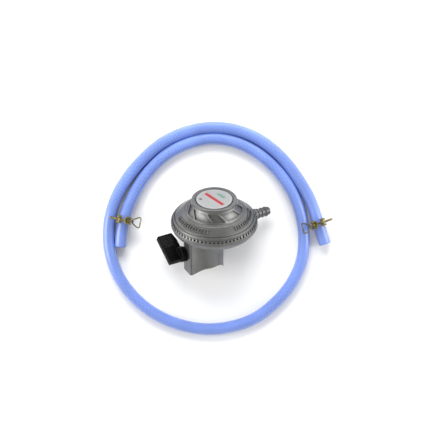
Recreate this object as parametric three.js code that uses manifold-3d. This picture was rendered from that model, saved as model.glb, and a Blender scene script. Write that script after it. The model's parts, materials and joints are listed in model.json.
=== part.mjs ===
// Gas regulator with its hose and two hose clamps, laid out on a flat surface.
// Millimetres, +Z up. The regulator lies on its side inside the loop of the hose, and the
// origin is the middle of the regulator's footprint.
import * as THREE from 'three';
import { mergeVertices } from 'three/addons/utils/BufferGeometryUtils.js';
import Module from 'manifold-3d';

const wasm = await Module();
wasm.setup();

// ---- driving dimensions -----------------------------------------------------------------

// How the regulator lies: its upright axis leans back from the vertical, and is turned about itself.
const LEAN = 57;
const TURN = 28;

// The regulator in its own frame: z up its axis, x from the lever to the outlet, z = 0 at the top
// of the two windows in the socket's skirt.
const BONNET_X = 12.6; // the bonnet's axis stands this far from the socket's
const FIT = 0.3; // play between neighbours

const SOCKET = { outerR: 21, boreR: 17.5, skirtBottom: -12, boreTop: 6.2, windowHalf: 19.2 };
const CAM_CHAMBER = { r: 15.2, top: 16 };
const STEM_BORE_R = 2.9;
const SPRING_WELL = { r: 5.5, floor: 17.5, top: 24.4 };
const JET_R = 6;
const CHAMBER_FLOOR = 32.5;
const FLANGE = {
  rimR: 44, rimZ: 36, wideR: 47.2, wideZ: 41.5, lipR: 46.9, lipZ: 45.2, ledgeZ: 42.6, lipInnerR: 45.9,
};
const COVER = {
  rimR: 45.6, rimZ: 43.9, rimInnerR: 35.5, beadR: 44.4, beadZ: 51, coneR: 31, coneZ: 59, shoulderZ: 70,
  capR: 24.7, capZ: 73, wellR: 12.4, wellZ: 62.2,
};
const LABEL = { r: 19.5, thick: 0.5, z: 72.2 };
// Panels let into the cone, wide and narrow by turns; the ribs between them lean round as they rise.
// Foot and head are shares of the slope, and angles are in degrees.
const PANELS = {
  pairs: 5, depth: 1.2, first: 210.3, wide: 39.5, narrow: 23.5, swirl: 22, foot: 0.14, head: 0.88, steps: 4,
};

const LEVER_AXIS = { y: 6, z: 9.3 }; // the control lever turns about a line along x
// Its plate is given about that line: along reaches from near to far, face from its back to its front.
const LEVER = {
  hubR: 8.5, hubX: -21.4, tipX: -24, reachX: -41,
  near: -5.7, shoulder: 19, far: 28.7, back: -6.7, front: -0.3, tiltDeg: 27.5,
};
const CAM = { baseR: 3.2, lobeR: 1.6, reach: 5.2 };
const SPINDLE_R = 2.6;
const BUSH_HOLE_R = 5.4;

const SLEEVE = { topZ: 5.8, discZ: 4.4, skirtZ: 0.9, outerR: 17.2, innerR: 16.25 };
const CAGE = { topZ: 1.9, bottomZ: -3.2, outerR: 16, innerR: 13.6 };
const BALL = { count: 4, r: 1.45, z: -0.9, orbitR: 14.6 };
const STEM = { r: 2.6, boreR: 1.1, bottomZ: -4.5, headZ: 22.3, topZ: 23.6 };

const DIAPHRAGM_Z = 45.5;
const PIVOT = { x: 3.6, z: 37 }; // the seat lever rocks on this pin
const OUTLET_Z = 37.8;
// Stations of the barb are measured from the bonnet's axis.
const BARB = {
  start: 41, collar: 49.2, collarR: 6.2, tip: 67.6, spigotR: 4.3, coreR: 4.7, ridgeR: 5.6, ridgePitch: 4.5,
  boreR: 2.8,
};
const OUTLET_BOSS = { r: 7.6, start: 30, face: 47.6 };

// The hose and its clamps.
const HOSE = { outerR: 6.5, sides: 8, steps: 78 };
const CLAMP = {
  wireR: 0.9, ringR: 7.85, spread: 3.1, barrelV: 4.2, barrelW: 11, barrelR: 2.1, barrelHalf: 4.4,
};
const SCREW = { r: 1.35, tip: -16, collar: 6.6, head: 7.8 };
const HANDLE = { length: 8.6, halfWidth: 5.6, wireR: 0.7 };

// Route of the hose's middle, [x, y, z], from one cut end to the other. Each clamp's wire passes
// under the hose and lifts it a little there.
const ROUTE = [
  [-102.3, -17.1, 7.9], [-101.3, -3.6, 8.7], [-98.3, 12.4, 9.0], [-92.8, 28.9, 8.0], [-82.3, 49.9, 6.7],
  [-68.8, 68.4, 6.6], [-51.3, 84.4, 6.6], [-29.3, 95.9, 6.6], [-4.3, 101.4, 6.6], [21.2, 98.4, 6.6],
  [44.7, 87.9, 6.6], [65.2, 71.4, 6.6], [81.7, 50.9, 6.6], [93.2, 26.4, 6.6], [98.7, -0.6, 6.6],
  [97.2, -29.1, 6.6], [86.2, -55.6, 6.6], [67.7, -78.1, 6.6], [44.7, -95.6, 6.6], [17.2, -105.1, 6.6],
  [-11.8, -107.1, 6.6], [-39.8, -101.6, 6.6], [-65.8, -89.6, 6.6], [-87.8, -71.6, 6.6], [-104.8, -48.1, 6.6],
  [-113.8, -21.1, 6.6], [-114.8, 6.9, 6.6], [-108.3, 33.9, 6.6], [-95.3, 57.9, 6.6], [-78.3, 78.4, 6.6],
  [-57.3, 96.4, 6.6], [-32.3, 108.4, 6.6], [-4.3, 113.9, 6.6], [25.2, 110.9, 6.6], [52.2, 99.4, 6.6],
  [75.2, 80.4, 6.6], [92.2, 58.4, 6.7], [106.2, 33.4, 8.0], [114.7, 8.4, 9.0], [122.2, -14.1, 8.4],
];
// Each clamp sits at this fraction of the hose's length, turned a little from square.
const CLAMPS = [
  { name: 'clamp_a', along: 0.029, skew: 4 },
  { name: 'clamp_b', along: 0.977, skew: 0 },
];

// ---- materials --------------------------------------------------------------------------

const finish = (color, roughness, metalness) =>
  new THREE.MeshStandardMaterial({ color, roughness, metalness });
const castZinc = finish(0x9a9da0, 0.38, 0.9);
const steel = finish(0xb4b8bc, 0.3, 0.95);
const brass = finish(0xb08d4a, 0.35, 0.9);
const yellowZinc = finish(0x8d7a3c, 0.4, 0.85);
const blackPlastic = finish(0x121212, 0.5, 0.0);
const blackRubber = finish(0x1b1b1b, 0.8, 0.0);
const labelFoil = finish(0xe3e3e0, 0.45, 0.1);
const bluePvc = finish(0x7f93e6, 0.35, 0.0);

// ---- solids: joining and cutting --------------------------------------------------------

function weld(geometry) {
  const bare = geometry.clone();
  bare.deleteAttribute('normal');
  bare.deleteAttribute('uv');
  const merged = mergeVertices(bare, 1e-4);
  const index = merged.index.array;
  const kept = [];
  for (let i = 0; i < index.length; i += 3) {
    const [a, b, c] = [index[i], index[i + 1], index[i + 2]];
    if (a !== b && b !== c && c !== a) kept.push(a, b, c);
  }
  merged.setIndex(kept);
  return merged;
}

function toSolid(geometry) {
  const merged = weld(geometry);
  const vertProperties = new Float32Array(merged.attributes.position.array);
  const triVerts = new Uint32Array(merged.index.array);
  return new wasm.Manifold(new wasm.Mesh({ numProp: 3, vertProperties, triVerts }));
}

function toGeometry(solid) {
  const mesh = solid.getMesh();
  const geometry = new THREE.BufferGeometry();
  geometry.setAttribute('position', new THREE.BufferAttribute(mesh.vertProperties, 3));
  geometry.setIndex(new THREE.BufferAttribute(mesh.triVerts, 1));
  return geometry;
}

// The first geometry, with the others joined on.
function join(first, ...others) {
  return toGeometry(others.reduce((sum, other) => sum.add(toSolid(other)), toSolid(first)));
}

// The first geometry, with the others cut away.
function cut(first, ...others) {
  return toGeometry(others.reduce((rest, other) => rest.subtract(toSolid(other)), toSolid(first)));
}

// ---- shapes -----------------------------------------------------------------------------

// A solid of revolution about z through (x, 0), from [r, z] points listed anticlockwise.
function turned(profile, steps = 32, x = 0) {
  const points = profile.map(([r, z]) => new THREE.Vector2(r, z));
  return weld(new THREE.LatheGeometry(points, steps).rotateX(Math.PI / 2)).translate(x, 0, 0);
}

// A ring of rectangular section about z.
function ring(innerR, outerR, z0, z1, steps = 32, x = 0) {
  return turned([[innerR, z0], [outerR, z0], [outerR, z1], [innerR, z1], [innerR, z0]], steps, x);
}

function disc(r, z0, z1, steps = 32, x = 0) {
  return turned([[0, z0], [r, z0], [r, z1], [0, z1]], steps, x);
}

function block(x0, x1, y0, y1, z0, z1) {
  return new THREE.BoxGeometry(x1 - x0, y1 - y0, z1 - z0)
    .translate((x0 + x1) / 2, (y0 + y1) / 2, (z0 + z1) / 2);
}

// Lays a solid made about z along +x, with its z = 0 plane at x = 0.
const alongX = (geometry) => geometry.rotateY(Math.PI / 2);

// A round wire or tube along a curve.
function swept(curve, r, sides, steps) {
  const section = new THREE.Shape();
  for (let i = 0; i < sides; i++) {
    const a = (2 * Math.PI * i) / sides;
    section[i ? 'lineTo' : 'moveTo'](r * Math.cos(a), r * Math.sin(a));
  }
  section.closePath();
  return new THREE.ExtrudeGeometry(section, { steps, extrudePath: curve, curveSegments: 1 });
}

function extruded(shape, depth, segments = 8) {
  return new THREE.ExtrudeGeometry(shape, { depth, bevelEnabled: false, curveSegments: segments });
}

function coil(r, wireR, z0, z1, turns, x = 0) {
  class Helix extends THREE.Curve {
    getPoint(t, target = new THREE.Vector3()) {
      const a = 2 * Math.PI * turns * t;
      return target.set(x + r * Math.cos(a), r * Math.sin(a), z0 + wireR + (z1 - z0 - 2 * wireR) * t);
    }
  }
  return swept(new Helix(), wireR, 5, turns * 12);
}

function piece(name, geometry, material) {
  const mesh = new THREE.Mesh(geometry, material);
  mesh.name = name;
  return mesh;
}

// ---- regulator body ---------------------------------------------------------------------

// What is cut away below the windows, whose edge falls in an S from the middle to each leg, seen along y.
function windowCut() {
  const { windowHalf: w, skirtBottom } = SOCKET;
  const shape = new THREE.Shape();
  shape.moveTo(-w - 2, skirtBottom - 3);
  shape.lineTo(w + 2, skirtBottom - 3);
  shape.lineTo(w, skirtBottom);
  shape.bezierCurveTo(w - 1.6, skirtBottom + 3.5, w - 5.2, -1.5, w - 13.2, 0);
  shape.lineTo(13.2 - w, 0);
  shape.bezierCurveTo(5.2 - w, -1.5, 1.6 - w, skirtBottom + 3.5, -w, skirtBottom);
  shape.closePath();
  return extruded(shape, 60, 6).rotateX(Math.PI / 2).translate(0, 30, 0);
}

function lowerBody() {
  const { outerR, boreR, skirtBottom, boreTop } = SOCKET;
  const bowl = turned([
    [0, 26], [24, 28], [41.5, 33.8], [FLANGE.rimR, FLANGE.rimZ], [FLANGE.wideR, FLANGE.wideZ],
    [FLANGE.lipR, FLANGE.lipZ], [0, FLANGE.lipZ],
  ], 36, BONNET_X);
  const socket = disc(outerR, skirtBottom, 31, 32);
  const leverFacet = block(-outerR, -15, -7.7, 7.7, skirtBottom, 31);
  const outletBoss = alongX(disc(OUTLET_BOSS.r, OUTLET_BOSS.start, OUTLET_BOSS.face, 18))
    .translate(BONNET_X, 0, OUTLET_Z);
  const lugs = [-1, 1].map((side) => block(1.4, 5.8, 8 * side - 1, 8 * side + 1, 31, 39.4));

  const chamber = turned([
    [0, CHAMBER_FLOOR], [32, CHAMBER_FLOOR], [35, 37], [35, FLANGE.ledgeZ],
    [FLANGE.lipInnerR, FLANGE.ledgeZ], [FLANGE.lipInnerR, 50], [0, 50],
  ], 36, BONNET_X);
  const bore = turned([
    [0, skirtBottom - 1], [boreR, skirtBottom - 1], [boreR, boreTop], [CAM_CHAMBER.r, boreTop],
    [CAM_CHAMBER.r, CAM_CHAMBER.top], [STEM_BORE_R, CAM_CHAMBER.top], [STEM_BORE_R, SPRING_WELL.floor],
    [SPRING_WELL.r, SPRING_WELL.floor], [SPRING_WELL.r, SPRING_WELL.top],
    [JET_R + FIT, SPRING_WELL.top], [JET_R + FIT, CHAMBER_FLOOR + 1], [0, CHAMBER_FLOOR + 1],
  ], 24);
  const bushHole = alongX(disc(BUSH_HOLE_R + FIT, -24, -10, 18)).translate(0, LEVER_AXIS.y, LEVER_AXIS.z);
  const farBearing = alongX(disc(SPINDLE_R + FIT, 10, 17.5, 16)).translate(0, LEVER_AXIS.y, LEVER_AXIS.z);
  const outletBore = alongX(disc(BARB.spigotR + FIT, BARB.start - 1, 50, 16))
    .translate(BONNET_X, 0, OUTLET_Z);
  const outletWay = alongX(disc(BARB.boreR, OUTLET_BOSS.start, BARB.start, 12))
    .translate(BONNET_X, 0, OUTLET_Z);
  const pinHole = disc(0.9, -12, 12, 12).rotateX(Math.PI / 2).translate(PIVOT.x, 0, PIVOT.z);

  const outside = join(bowl, socket, leverFacet, outletBoss);
  const hollow = cut(outside, chamber, bore, windowCut(), bushHole, farBearing, outletBore, outletWay);
  return cut(join(hollow, ...lugs), pinHole);
}

// What is cut away for one panel, this many degrees wide, with its middle at the given angle.
function conePanel(middle, width) {
  const { coneR, coneZ, capR, shoulderZ } = COVER;
  const { depth, swirl, foot, head, steps } = PANELS;
  const slope = Math.atan2(coneR - capR, shoulderZ - coneZ);
  const above = 4;
  const corners = [[foot, -depth], [foot, above], [head, above], [head, -depth]];
  const position = [];
  for (let step = 0; step <= steps; step++) {
    for (const [share, out] of corners) {
      const lean = swirl * (0.5 - share);
      const angle = THREE.MathUtils.degToRad(middle + width * (step / steps - 0.5) + lean);
      const r = coneR + (capR - coneR) * share + out * Math.cos(slope);
      const z = coneZ + (shoulderZ - coneZ) * share + out * Math.sin(slope);
      position.push(r * Math.cos(angle) + BONNET_X, r * Math.sin(angle), z);
    }
  }
  const index = [0, 1, 2, 0, 2, 3];
  for (let step = 0; step < steps; step++) {
    for (let corner = 0; corner < 4; corner++) {
      const low = step * 4 + corner;
      const next = step * 4 + (corner + 1) % 4;
      index.push(low, low + 4, next + 4, low, next + 4, next);
    }
  }
  const last = steps * 4;
  index.push(last, last + 2, last + 1, last, last + 3, last + 2);
  const panel = new THREE.BufferGeometry();
  panel.setAttribute('position', new THREE.Float32BufferAttribute(position, 3));
  panel.setIndex(index);
  return panel;
}

function bonnetCover() {
  const { rimR, rimZ, rimInnerR, beadR, beadZ, coneR, coneZ, shoulderZ, capR, capZ, wellR, wellZ } = COVER;
  const seatR = LABEL.r + 0.4;
  const seatZ = LABEL.z - FIT;
  const shell = turned([
    [rimInnerR, rimZ], [rimR, rimZ], [rimR, rimZ + 2.1], [beadR, beadZ], [43, beadZ + 0.6],
    [coneR + 3.4, coneZ - 1], [coneR, coneZ], [capR + 0.4, shoulderZ], [capR, shoulderZ + 1],
    [capR, capZ - 0.6], [capR - 0.6, capZ], [seatR, capZ], [seatR, seatZ], [wellR, seatZ],
    [wellR, wellZ], [15.5, wellZ], [16.2, 68.5], [21.3, 68.5], [28, 56.8], [33.4, 55.4], [41.5, 49],
    [41.5, 46.2], [rimInnerR, 45.6], [rimInnerR, rimZ],
  ], 30, BONNET_X);
  const step = 360 / PANELS.pairs;
  const panels = Array.from({ length: PANELS.pairs }, (_, i) => [
    conePanel(PANELS.first + step * i, PANELS.wide),
    conePanel(PANELS.first + step * (i + 0.5), PANELS.narrow),
  ]);
  return cut(shell, ...panels.flat());
}

const labelDisc = () => disc(LABEL.r, LABEL.z, LABEL.z + LABEL.thick, 32, BONNET_X);

function adjusterPlug() {
  const plug = turned([[0, 63.2], [12.1, 63.2], [12.1, 71.4], [0, 71.4]], 32, BONNET_X);
  const keyHole = disc(4.5, 67, 72, 6, BONNET_X);
  return cut(plug, keyHole);
}

// ---- inside the gas chamber -------------------------------------------------------------

const mainSpring = () => coil(10.6, 1.1, 48.2, 62.9, 5, BONNET_X);

const springPlate = () => turned([
  [2.0, 46.6], [24, 46.6], [24.8, 48.4], [24, 48.4], [23.4, 47.8], [2.0, 47.8], [2.0, 46.6],
], 28, BONNET_X);

// Rubber disc: flat where it is clamped at the rim, and raised by its fold to the flat middle.
const diaphragm = () => turned([
  [2.1, DIAPHRAGM_Z], [24, DIAPHRAGM_Z], [28, DIAPHRAGM_Z - 0.6], [31, DIAPHRAGM_Z - 2.6], [45.3, 42.9],
  [45.3, 43.6], [32, 43.6], [28.8, DIAPHRAGM_Z + 0.3], [24.6, DIAPHRAGM_Z + 0.8], [2.1, DIAPHRAGM_Z + 0.8],
  [2.1, DIAPHRAGM_Z],
], 28, BONNET_X);

const diaphragmWasher = () => ring(2.0, 14, 44.2, 45.2, 20, BONNET_X);

const diaphragmStem = () => turned([
  [0, 34.0], [3.2, 34.0], [3.2, 35.2], [1.7, 35.2], [1.7, 48.1], [3.4, 48.1], [3.4, 50], [0, 50],
], 18, BONNET_X);

function seatLever() {
  const shape = new THREE.Shape();
  shape.moveTo(-3.4, -4);
  shape.lineTo(1.4, -6.6);
  shape.lineTo(5.8, -6.6);
  shape.lineTo(17.8, -4.6);
  shape.lineTo(17.8, 4.6);
  shape.lineTo(5.8, 6.6);
  shape.lineTo(1.4, 6.6);
  shape.lineTo(-3.4, 4);
  shape.closePath();
  const arm = extruded(shape, 1.6).translate(0, 0, PIVOT.z - 0.8);
  const knuckle = disc(1.6, -6.6, 6.6, 12).rotateX(Math.PI / 2).translate(PIVOT.x, 0, PIVOT.z);
  const pinHole = disc(1.1, -8, 8, 12).rotateX(Math.PI / 2).translate(PIVOT.x, 0, PIVOT.z);
  const stemHole = disc(2.8, 30, 45, 16, BONNET_X);
  return cut(join(arm, knuckle), pinHole, stemHole);
}

const seatLeverPin = () => disc(0.7, -9.3, 9.3, 12).rotateX(Math.PI / 2).translate(PIVOT.x, 0, PIVOT.z);

const valvePad = () => disc(1.7, 34.5, 35.9, 16);

const inletJet = () => turned([
  [1.1, 24.7], [JET_R, 24.7], [JET_R, 32.2], [3, 32.2], [1.5, 33.5], [1.1, 33.5], [1.1, 24.7],
], 20);

// ---- socket: plunger, lock and seal -----------------------------------------------------

// Hollow stem that opens the cylinder valve and carries the gas up to the jet.
const plungerStem = () => turned([
  [STEM.boreR, STEM.bottomZ], [STEM.r - 0.6, STEM.bottomZ], [STEM.r, STEM.bottomZ + 0.8],
  [STEM.r, STEM.headZ], [5, STEM.headZ], [5, STEM.topZ], [STEM.boreR, STEM.topZ],
  [STEM.boreR, STEM.bottomZ],
], 14);

const plungerSpring = () => coil(4.1, 0.5, 17.8, 22.0, 3);

// Steel cap that the cams press: it carries the plunger down and slides its skirt behind the balls.
const lockSleeve = () => turned([
  [STEM.r + FIT, SLEEVE.discZ], [SLEEVE.innerR, SLEEVE.discZ], [SLEEVE.innerR, SLEEVE.skirtZ],
  [SLEEVE.outerR, SLEEVE.skirtZ], [SLEEVE.outerR, SLEEVE.topZ], [STEM.r + FIT, SLEEVE.topZ],
  [STEM.r + FIT, SLEEVE.discZ],
], 30);

const ballAngle = (i) => (2 * Math.PI * (i + 0.5)) / BALL.count;

function ballCage() {
  const { topZ, bottomZ, outerR, innerR } = CAGE;
  const cage = turned([
    [innerR, bottomZ], [SLEEVE.outerR, bottomZ], [SLEEVE.outerR, bottomZ + 1.5],
    [outerR - 0.1, bottomZ + 1.5], [outerR - 0.1, topZ], [innerR, topZ], [innerR, bottomZ],
  ], 24);
  const holes = Array.from({ length: BALL.count }, (_, i) =>
    alongX(disc(BALL.r + FIT, 11, 18.2, 10)).translate(0, 0, BALL.z).rotateZ(ballAngle(i)));
  return cut(cage, ...holes);
}

const lockBall = (i) => new THREE.SphereGeometry(BALL.r, 8, 6)
  .translate(BALL.orbitR, 0, BALL.z)
  .rotateZ(ballAngle(i));

const inletSeal = () => ring(STEM.r + FIT, 9, 2.3, 4.1, 20);

// ---- control lever ----------------------------------------------------------------------

function controlLever() {
  const { hubR, hubX, tipX, reachX, near, shoulder, far, back, front, tiltDeg } = LEVER;
  const outline = new THREE.Shape();
  outline.moveTo(hubX, near);
  outline.lineTo(hubX, shoulder);
  outline.lineTo(tipX, far);
  outline.lineTo(reachX + 1, far);
  outline.lineTo(reachX, far - 1);
  outline.lineTo(reachX, near + 1);
  outline.lineTo(reachX + 1, near);
  outline.closePath();
  const plate = extruded(outline, front - back).translate(0, 0, back)
    .rotateX(THREE.MathUtils.degToRad(tiltDeg));
  const hub = alongX(disc(hubR, hubX - 5.6, hubX, 28));
  const spindleHole = alongX(disc(SPINDLE_R + FIT, hubX - 4.2, hubX + 1, 16));
  return cut(join(hub, plate), spindleHole).translate(0, LEVER_AXIS.y, LEVER_AXIS.z);
}

// Shaft through the body wall, with a cam on each side of the plunger's stem.
function leverSpindle() {
  const lobe = new THREE.Shape();
  const slant = Math.acos((CAM.baseR - CAM.lobeR) / (CAM.reach - CAM.lobeR));
  lobe.absarc(0, 0, CAM.baseR, slant, 2 * Math.PI - slant, false);
  lobe.absarc(CAM.reach - CAM.lobeR, 0, CAM.lobeR, -slant, slant, false);
  const cam = (x) => extruded(lobe, 5.6, 6).rotateZ(Math.PI / 2).rotateY(Math.PI / 2).translate(x, 0, 0);
  const shaft = alongX(disc(SPINDLE_R, LEVER.hubX - 3.9, 16.4, 16));
  const spindle = join(shaft, cam(-9.2), cam(3.6));
  return spindle.translate(0, LEVER_AXIS.y, LEVER_AXIS.z);
}

const spindleBush = () => alongX(ring(SPINDLE_R + FIT, BUSH_HOLE_R, -20.9, -17.9, 16))
  .translate(0, LEVER_AXIS.y, LEVER_AXIS.z);

const spindleClip = () => alongX(ring(SPINDLE_R + FIT, 3.8, -17.6, -16.9, 14))
  .translate(0, LEVER_AXIS.y, LEVER_AXIS.z);

// ---- outlet -----------------------------------------------------------------------------

function outletBarb() {
  const { start, collar, collarR, tip, spigotR, coreR, ridgeR, ridgePitch, boreR } = BARB;
  const profile = [
    [boreR, start], [spigotR, start], [spigotR, collar], [collarR, collar], [collarR, collar + 2.4],
    [coreR, collar + 2.4],
  ];
  for (let i = 0; i < 3; i++) {
    const z = collar + 3.6 + ridgePitch * i;
    profile.push([coreR, z], [ridgeR, z + 0.2], [ridgeR, z + 1.2], [coreR, z + 3.4]);
  }
  profile.push([spigotR, tip - 0.6], [spigotR - 0.4, tip], [boreR, tip], [boreR, start]);
  return alongX(turned(profile, 16)).translate(BONNET_X, 0, OUTLET_Z);
}

const outletSeal = () => alongX(ring(BARB.spigotR + FIT, 5.9, OUTLET_BOSS.face + FIT, 48.9, 16))
  .translate(BONNET_X, 0, OUTLET_Z);

// ---- hose and clamps --------------------------------------------------------------------

const hoseLine = new THREE.CatmullRomCurve3(
  ROUTE.map((point) => new THREE.Vector3(...point)), false, 'centripetal');
hoseLine.arcLengthDivisions = 2000;

const hoseTube = () => swept(hoseLine, HOSE.outerR, HOSE.sides, HOSE.steps);

// In a clamp's own frame u runs along the hose (y), v across it (x) and w up (z), from the hose's middle.

// One bent wire: round the hose, over the far barrel, and back round beside itself.
function clampWire() {
  const { ringR, spread, barrelV, barrelW, barrelR, wireR } = CLAMP;
  const clear = barrelR + wireR + FIT;
  const arc = (v, w, r, from, to, count) => Array.from({ length: count + 1 }, (_, i) => {
    const a = THREE.MathUtils.degToRad(from + ((to - from) * i) / count);
    return [v + r * Math.cos(a), w + r * Math.sin(a)];
  });
  const loop = [
    ...arc(-barrelV, barrelW, clear, 60, 180, 3), ...arc(0, 0, ringR, 180, 360, 8),
    ...arc(barrelV, barrelW, clear, 0, 120, 3),
  ];
  const there = loop.map(([v, w]) => new THREE.Vector3(v, spread, w));
  const back = loop.map(([v, w]) => new THREE.Vector3(v, -spread, w)).reverse();
  const turn = new THREE.Vector3(barrelV - 2.6, 0, barrelW + clear - 0.6);
  return swept(new THREE.CatmullRomCurve3([...there, turn, ...back], false, 'centripetal'), wireR, 6, 50);
}

function clampBarrel(v, holeR) {
  const { barrelR, barrelHalf, barrelW } = CLAMP;
  const barrel = disc(barrelR, -barrelHalf, barrelHalf, 16).rotateX(Math.PI / 2);
  const hole = alongX(disc(holeR, -5, 5, 14));
  return cut(barrel, hole).translate(v, 0, barrelW);
}

// Screw with a flattened eye at its head, where the wire handle is hooked in.
function thumbScrew() {
  const shank = turned([
    [0, SCREW.tip], [SCREW.r - 0.5, SCREW.tip], [SCREW.r, SCREW.tip + 0.8], [SCREW.r, SCREW.collar],
    [1.85, SCREW.collar], [1.85, SCREW.head], [0, SCREW.head],
  ], 12);
  const tab = block(-1.9, 1.9, -0.8, 0.8, SCREW.head - 0.5, SCREW.head + 3.4);
  const eye = disc(HANDLE.wireR + FIT, -3, 3, 10).rotateX(Math.PI / 2).translate(0, 0, SCREW.head + 1.8);
  return alongX(cut(join(shank, tab), eye)).translate(0, 0, CLAMP.barrelW);
}

// Triangular wire loop that turns the screw; it passes through the eye.
function wireHandle() {
  const { length, halfWidth: half, wireR } = HANDLE;
  const near = SCREW.head + 1.8;
  const far = near + length;
  const corners = [
    [near, -1.3], [near, 0], [near, 1.3], [near + 1.6, 2.6], [far - 1.2, half], [far, half - 1],
    [far, 0], [far, 1 - half], [far - 1.2, -half], [near + 1.6, -2.6],
  ];
  const closed = new THREE.CatmullRomCurve3(corners.map(([v, u]) => new THREE.Vector3(v, u, 0)), true);
  const points = Array.from({ length: 31 }, (_, i) => closed.getPoint((6.4 + (9.6 * i) / 30) / 10 % 1));
  return swept(new THREE.CatmullRomCurve3(points), wireR, 6, 30).translate(0, 0, CLAMP.barrelW);
}

function hoseClamp({ name, along, skew }) {
  const heading = hoseLine.getTangentAt(along);
  const group = new THREE.Group();
  group.add(
    piece(`${name}_wire_band`, clampWire(), yellowZinc),
    piece(`${name}_plain_barrel`, clampBarrel(CLAMP.barrelV, SCREW.r + FIT), yellowZinc),
    piece(`${name}_threaded_barrel`, clampBarrel(-CLAMP.barrelV, SCREW.r + FIT), yellowZinc),
    piece(`${name}_thumb_screw`, thumbScrew(), yellowZinc),
    piece(`${name}_wire_handle`, wireHandle(), yellowZinc),
  );
  group.position.copy(hoseLine.getPointAt(along));
  group.rotation.z = Math.atan2(-heading.x, heading.y) + THREE.MathUtils.degToRad(skew);
  return group;
}

// ---- assembly ---------------------------------------------------------------------------

const regulator = new THREE.Group();
regulator.add(
  piece('lower_body', lowerBody(), castZinc),
  piece('bonnet_cover', bonnetCover(), castZinc),
  piece('label_disc', labelDisc(), labelFoil),
  piece('adjuster_plug', adjusterPlug(), brass),
  piece('main_spring', mainSpring(), steel),
  piece('spring_plate', springPlate(), steel),
  piece('diaphragm', diaphragm(), blackRubber),
  piece('diaphragm_washer', diaphragmWasher(), steel),
  piece('diaphragm_stem', diaphragmStem(), brass),
  piece('seat_lever', seatLever(), steel),
  piece('seat_lever_pin', seatLeverPin(), steel),
  piece('valve_pad', valvePad(), blackRubber),
  piece('inlet_jet', inletJet(), brass),
  piece('plunger_stem', plungerStem(), brass),
  piece('plunger_spring', plungerSpring(), steel),
  piece('lock_sleeve', lockSleeve(), steel),
  piece('ball_cage', ballCage(), brass),
  ...Array.from({ length: BALL.count }, (_, i) => piece(`lock_ball_${i + 1}`, lockBall(i), steel)),
  piece('inlet_seal', inletSeal(), blackRubber),
  piece('control_lever', controlLever(), blackPlastic),
  piece('lever_spindle', leverSpindle(), steel),
  piece('spindle_bush', spindleBush(), brass),
  piece('spindle_clip', spindleClip(), steel),
  piece('outlet_barb', outletBarb(), castZinc),
  piece('outlet_seal', outletSeal(), blackRubber),
);
regulator.rotation.set(THREE.MathUtils.degToRad(-LEAN), 0, THREE.MathUtils.degToRad(TURN));

// Set the regulator down on z = 0, with its footprint centred on the origin.
const reach = new THREE.Box3().setFromObject(regulator, true);
const middle = reach.getCenter(new THREE.Vector3());
regulator.position.set(-middle.x, -middle.y, -reach.min.z);

const assembly = new THREE.Group();
assembly.add(regulator, piece('hose_tube', hoseTube(), bluePvc), ...CLAMPS.map(hoseClamp));

export default assembly;
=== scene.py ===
"""Looks of a clip-on gas regulator with its braided hose and two wire hose clamps.

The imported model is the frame. The pieces below are drawn round it in millimetres, in the
regulator's own frame or a clamp's, and are then put in place in metres.
"""
import json
import math

import bmesh
import bpy
from bpy.props import FloatProperty, FloatVectorProperty, IntProperty, PointerProperty
from bpy.types import Operator, Panel, PropertyGroup
from mathutils import Matrix, Vector


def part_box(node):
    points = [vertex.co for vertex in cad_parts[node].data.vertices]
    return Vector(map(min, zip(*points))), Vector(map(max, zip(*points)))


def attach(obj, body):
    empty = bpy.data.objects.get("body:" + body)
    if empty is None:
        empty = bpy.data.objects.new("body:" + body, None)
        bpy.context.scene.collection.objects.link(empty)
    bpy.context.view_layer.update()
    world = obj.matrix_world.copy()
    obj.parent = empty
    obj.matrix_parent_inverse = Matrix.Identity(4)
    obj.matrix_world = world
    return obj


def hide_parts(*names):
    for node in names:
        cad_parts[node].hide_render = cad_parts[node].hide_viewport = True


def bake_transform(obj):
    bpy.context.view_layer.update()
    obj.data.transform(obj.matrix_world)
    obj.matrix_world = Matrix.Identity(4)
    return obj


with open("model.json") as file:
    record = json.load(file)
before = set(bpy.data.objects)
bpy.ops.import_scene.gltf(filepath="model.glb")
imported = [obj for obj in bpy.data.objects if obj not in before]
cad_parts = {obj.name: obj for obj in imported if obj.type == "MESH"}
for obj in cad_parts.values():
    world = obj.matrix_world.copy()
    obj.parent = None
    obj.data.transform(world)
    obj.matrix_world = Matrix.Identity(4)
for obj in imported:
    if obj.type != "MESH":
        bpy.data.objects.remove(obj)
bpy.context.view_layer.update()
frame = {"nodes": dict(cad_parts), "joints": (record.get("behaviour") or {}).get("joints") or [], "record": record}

bl_info = {
    "name": "Gas regulator and hose",
    "version": (1, 0, 0),
    "blender": (4, 5, 0),
    "location": "3D View > Sidebar > Regulator",
    "description": "Draws a clip-on gas regulator, its braided hose and two wire hose clamps",
    "category": "Object",
}

MM = 0.001
# Lengths under this count as none.
TINY = 1e-6
FINISH = "_finish"
JOINTS = {joint["name"]: joint for joint in frame["joints"]}

# ---- driving dimensions, in millimetres -------------------------------------------------

# The regulator in its own frame: z up its axis, x from the lever to the outlet, z = 0 at the top
# of the windows in the socket's skirt. The bonnet's axis stands BONNET_X along x from the socket's.
BONNET_X = 12.6
LEVER_PIVOT = Vector((-21, 6, 9.3))
SOCKET_R = 21.0
SOCKET_BORE_R = 17.5
SKIRT_BOTTOM = -12.0
SKIRT_TOP = 31.0
WINDOW_HALF = 19.2
FLANGE_RIM_R = 44.0
LIP_R = 46.9
LIP_Z = 45.2
CONE_LOW = (31.0, 59.0)
CONE_HIGH = (24.7, 70.0)
CAP_R = 24.7
CAP_Z = 73.0
LABEL_R = 19.5
LABEL_Z = 72.2
LABEL_THICK = 0.5
# Which way the label's bars lie, in degrees.
LABEL_SLANT = -78.0
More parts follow.
